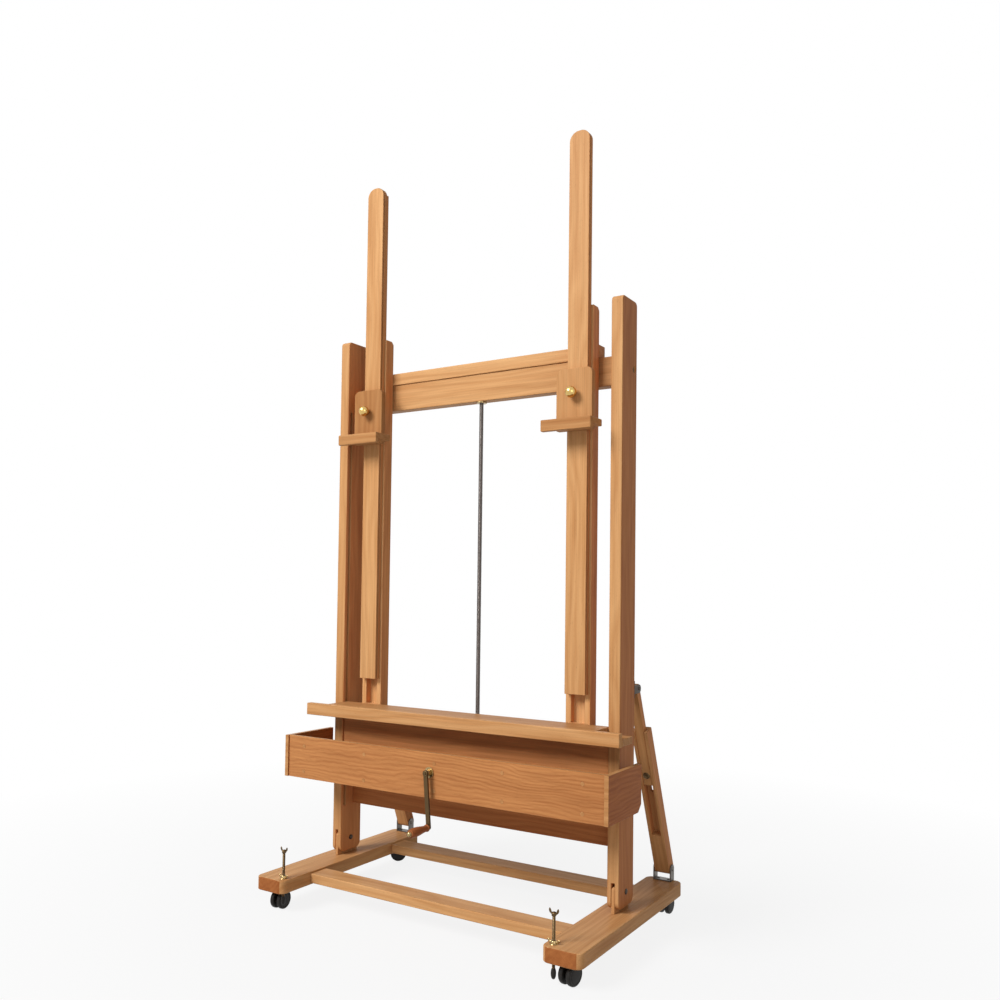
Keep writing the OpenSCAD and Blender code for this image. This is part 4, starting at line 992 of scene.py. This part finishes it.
class EASEL_OT_levellers(bpy.types.Operator):
    """Levelling screws with splayed wings, their winged lock nuts and feet"""

    bl_idname = "easel.levellers"
    bl_label = "Levellers"

    def execute(self, context):
        metals = context.scene.easel_metal
        bronze = metal("levelling_bronze", metals.bronze, 0.2, 0.4)
        brass = metal("lock_nut_brass", metals.aged, 0.16, 0.34)
        foot = plastic("foot_rubber", metals.black, 0.4, 0.6, 0.2)
        nuts = []
        for side in SIDES:
            lo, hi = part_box("leveller_screw_" + side)
            x, y = (lo.x + hi.x) / 2, (lo.y + hi.y) / 2
            self.screw(side, x, y, lo.z, hi.z, metals.rod_pitch, bronze)
            nuts += self.nut(x, y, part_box("runner_" + side)[1].z)
            self.foot(side, x, y, foot)
        turned("leveller_lock_nuts", nuts, brass, "leveller_bushes")
        return {"FINISHED"}

    def screw(self, side, x, y, bottom, top, pitch, bronze):
        """A threaded rod, a small hub and two wings that splay upwards."""
        rod_r, depth, starts, columns = 3.9 * MM, 0.45 * MM, 1, 20
        hub, hub_r = top - 17 * MM, 5.6 * MM
        widths, thick = (6.0 * MM, 4.8 * MM, 5.8 * MM, 6.0 * MM), 3.4 * MM
        parts = [thread((x, y), bottom, hub + 2 * MM, rod_r, depth, pitch, starts, columns)]
        neck = [(4.0 * MM, hub), (hub_r, hub + 1 * MM), (hub_r, hub + 7 * MM)]
        parts.append(lathe(neck + dome(5.4 * MM, 2.6 * MM, hub + 7.2 * MM), (x, y, 0)))
        for way in (-1, 1):
            root = (x + way * 1.5 * MM, y, hub + 5 * MM)
            bend = (x + way * 10.5 * MM, y, hub + 5 * MM)
            tip = (x + way * 11.0 * MM, y, top - 0.2 * MM)
            parts.append(wing(root, bend, tip, widths, thick))
        turned("leveller_screw_%s_winged" % side, parts, bronze, "leveller_screw_" + side)

    def nut(self, x, y, z):
        """A sleeve in the runner, a flange, a cone and two short rounded wings on top."""
        bore, sleeve_r, sleeve_deep = 4.1 * MM, 6.3 * MM, 29 * MM
        widths, thick = (5.0 * MM, 4.6 * MM, 6.4 * MM, 5.2 * MM), 4.0 * MM
        sleeve = [(bore, -sleeve_deep), (sleeve_r, -sleeve_deep), (sleeve_r, -0.2 * MM)]
        flange = [(10.6 * MM, 0.05 * MM), (10.9 * MM, 0.9 * MM), (10.2 * MM, 1.8 * MM)]
        cone = [(7.6 * MM, 2.2 * MM), (6.6 * MM, 7.2 * MM), (5.8 * MM, 8.2 * MM), (bore, 8.3 * MM)]
        parts = [lathe(sleeve + flange + cone, (x, y, z))]
        for way in (-1, 1):
            root = (x + way * 5.2 * MM, y, z + 4.4 * MM)
            bend = (x + way * 12.5 * MM, y, z + 3.6 * MM)
            tip = (x + way * 14.4 * MM, y, z + 10.8 * MM)
            parts.append(wing(root, bend, tip, widths, thick))
        return parts

    def foot(self, side, x, y, rubber):
        """An egg-shaped foot: r = R sin(p)^0.8 from its small flat base to its neck."""
        lo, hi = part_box("leveller_foot_" + side)
        r, n = (hi.x - lo.x) / 2, hi.z - lo.z
        first, last = 0.28, math.pi - 0.42
        p = np.linspace(first, last, 18)
        height = (np.cos(first) - np.cos(p)) / (np.cos(first) - np.cos(last)) * n
        profile = [(r * math.sin(a) ** 0.8, h) for a, h in zip(p, height)]
        egg = lathe(profile, (x, y, lo.z), columns=32)
        turned("leveller_foot_%s_egg" % side, [egg], rubber, "leveller_foot_" + side)


class EASEL_OT_stage(bpy.types.Operator):
    """Pale floor, soft lamps, world and camera"""

    bl_idname = "easel.stage"
    bl_label = "Stage"

    KEY_PLACE, KEY_SIZE = (-2.4, -5.7, 5.4), 3.2
    FILL_PLACE, FILL_SIZE = (3.4, -2.6, 1.8), 2.4
    FLOOR_HALF = 9.0
    SHADOW_REACH = (0.7, 2.4)  # the shadow fades out between these distances
    LEAST_GLOW = 0.86  # share of plain white in the floor close to the easel
    CAMERA_PLACE = (1.4338, -2.10885, 0.8864)
    PAN, TILT, ROLL = 31.387, 2.030, 0.670  # degrees
    LENS, SENSOR, SHIFT = 32.74, 36.0, (-0.0199, 0.0587)

    def execute(self, context):
        stage = context.scene.easel_stage
        self.floor(stage)
        self.world(stage)
        self.lamp("key_lamp", self.KEY_PLACE, self.KEY_SIZE, stage.key_power)
        self.lamp("fill_lamp", self.FILL_PLACE, self.FILL_SIZE, stage.fill_power)
        self.camera(context)
        context.scene.view_settings.view_transform = "Standard"
        return {"FINISHED"}

    def floor(self, stage):
        """A flat sheet, white but for the easel's shadow."""
        half = self.FLOOR_HALF
        corners = [(-half, -half, 0), (half, -half, 0), (half, half, 0), (-half, half, 0)]
        mesh = bpy.data.meshes.new("floor")
        mesh.from_pydata(corners, [], [(0, 1, 2, 3)])
        floor = placed("floor", mesh)
        material, g, shader = blank_material("pale_floor")
        shader.inputs["Base Color"].default_value = rgba(stage.floor)
        shader.inputs["Roughness"].default_value = 0.9
        seen = self.seen(g)
        glow = g.node("ShaderNodeEmission", Color=(1, 1, 1, 1), Strength=1.0)
        away = g.node("ShaderNodeVectorMath", operation="LENGTH")
        g.feed(away.inputs[0], g.node("ShaderNodeTexCoord").outputs["Object"])
        plain = g.span(away.outputs["Value"], *self.SHADOW_REACH, self.LEAST_GLOW, 1.0)
        share = g.times(seen, plain)
        blend = g.node("ShaderNodeMixShader")
        for i, value in enumerate((share, shader.outputs[0], glow.outputs[0])):
            g.feed(blend.inputs[i], value)
        g.feed(g.tree.nodes["Material Output"].inputs["Surface"], blend.outputs[0])
        mesh.materials.append(material)
        floor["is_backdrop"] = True

    def seen(self, g):
        """1 for what the camera sees, straight, in a gloss or through something clear."""
        path = g.node("ShaderNodeLightPath")
        seen = g.math("MAXIMUM", path.outputs["Is Camera Ray"], path.outputs["Is Glossy Ray"])
        return g.math("MAXIMUM", seen, path.outputs["Is Transmission Ray"])

    def world(self, stage):
        """A world that looks white and lights the easel only softly."""
        world = bpy.data.worlds.new("pale_world")
        bpy.context.scene.world = world
        world.use_nodes = True
        g = Graph(world.node_tree)
        back = world.node_tree.nodes["Background"]
        seen = self.seen(g)
        g.feed(back.inputs["Strength"], g.span(seen, 0.0, 1.0, stage.ambient, 1.0))
        back.inputs["Color"].default_value = (1, 1, 1, 1)

    def lamp(self, name, place, size, power):
        """An area lamp that looks at the middle of the easel."""
        light = bpy.data.lights.new(name, "AREA")
        light.energy = power
        light.size = size
        lamp = placed(name, light)
        lamp.location = place
        lo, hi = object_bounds()
        look = (lo + hi) / 2 - lamp.location
        lamp.rotation_euler = look.to_track_quat("-Z", "Y").to_euler()

    def camera(self, context):
        """Stands to the front right of the easel, a little above its shelf."""
        data = bpy.data.cameras.new("camera")
        data.lens = self.LENS
        data.sensor_width = self.SENSOR
        data.shift_x, data.shift_y = self.SHIFT
        camera = placed("camera", data)
        camera.location = self.CAMERA_PLACE
        pan, tilt, roll = (math.radians(a) for a in (self.PAN, self.TILT, self.ROLL))
        turn = Matrix.Rotation(pan, 4, "Z") @ Matrix.Rotation(math.pi / 2 + tilt, 4, "X")
        camera.rotation_euler = (turn @ Matrix.Rotation(roll, 4, "Z")).to_euler()
        context.scene.camera = camera


STEPS = (
    EASEL_OT_groups,
    EASEL_OT_base,
    EASEL_OT_frame,
    EASEL_OT_shelf,
    EASEL_OT_tray,
    EASEL_OT_masts,
    EASEL_OT_braces,
    EASEL_OT_drive,
    EASEL_OT_knobs,
    EASEL_OT_casters,
    EASEL_OT_levellers,
    EASEL_OT_stage,
)


class EASEL_PT_panel(bpy.types.Panel):
    """Lists the sizes, colours and steps of the easel"""

    bl_idname = "EASEL_PT_panel"
    bl_label = "Studio Easel"
    bl_space_type = "VIEW_3D"
    bl_region_type = "UI"
    bl_category = "Easel"

    def draw(self, context):
        for name in SETTINGS:
            group = getattr(context.scene, name)
            box = self.layout.box()
            for key in group.__annotations__:
                box.prop(group, key)
        for step in STEPS:
            self.layout.operator(step.bl_idname)


SETTINGS = {
    "easel_wood": EaselWoodSettings,
    "easel_metal": EaselMetalSettings,
    "easel_stage": EaselStageSettings,
}


def register():
    """Adds the settings, the operators and the panel to Blender."""
    for name, kind in SETTINGS.items():
        bpy.utils.register_class(kind)
        setattr(bpy.types.Scene, name, bpy.props.PointerProperty(type=kind))
    for kind in STEPS + (EASEL_PT_panel,):
        bpy.utils.register_class(kind)


def unregister():
    """Takes them out again."""
    for kind in reversed(STEPS + (EASEL_PT_panel,)):
        bpy.utils.unregister_class(kind)
    for name, kind in SETTINGS.items():
        delattr(bpy.types.Scene, name)
        bpy.utils.unregister_class(kind)


def main():
    """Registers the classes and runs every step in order."""
    register()
    for step in STEPS:
        group, call = step.bl_idname.split(".")
        getattr(getattr(bpy.ops, group), call)()


if __name__ == "__main__":
    main()
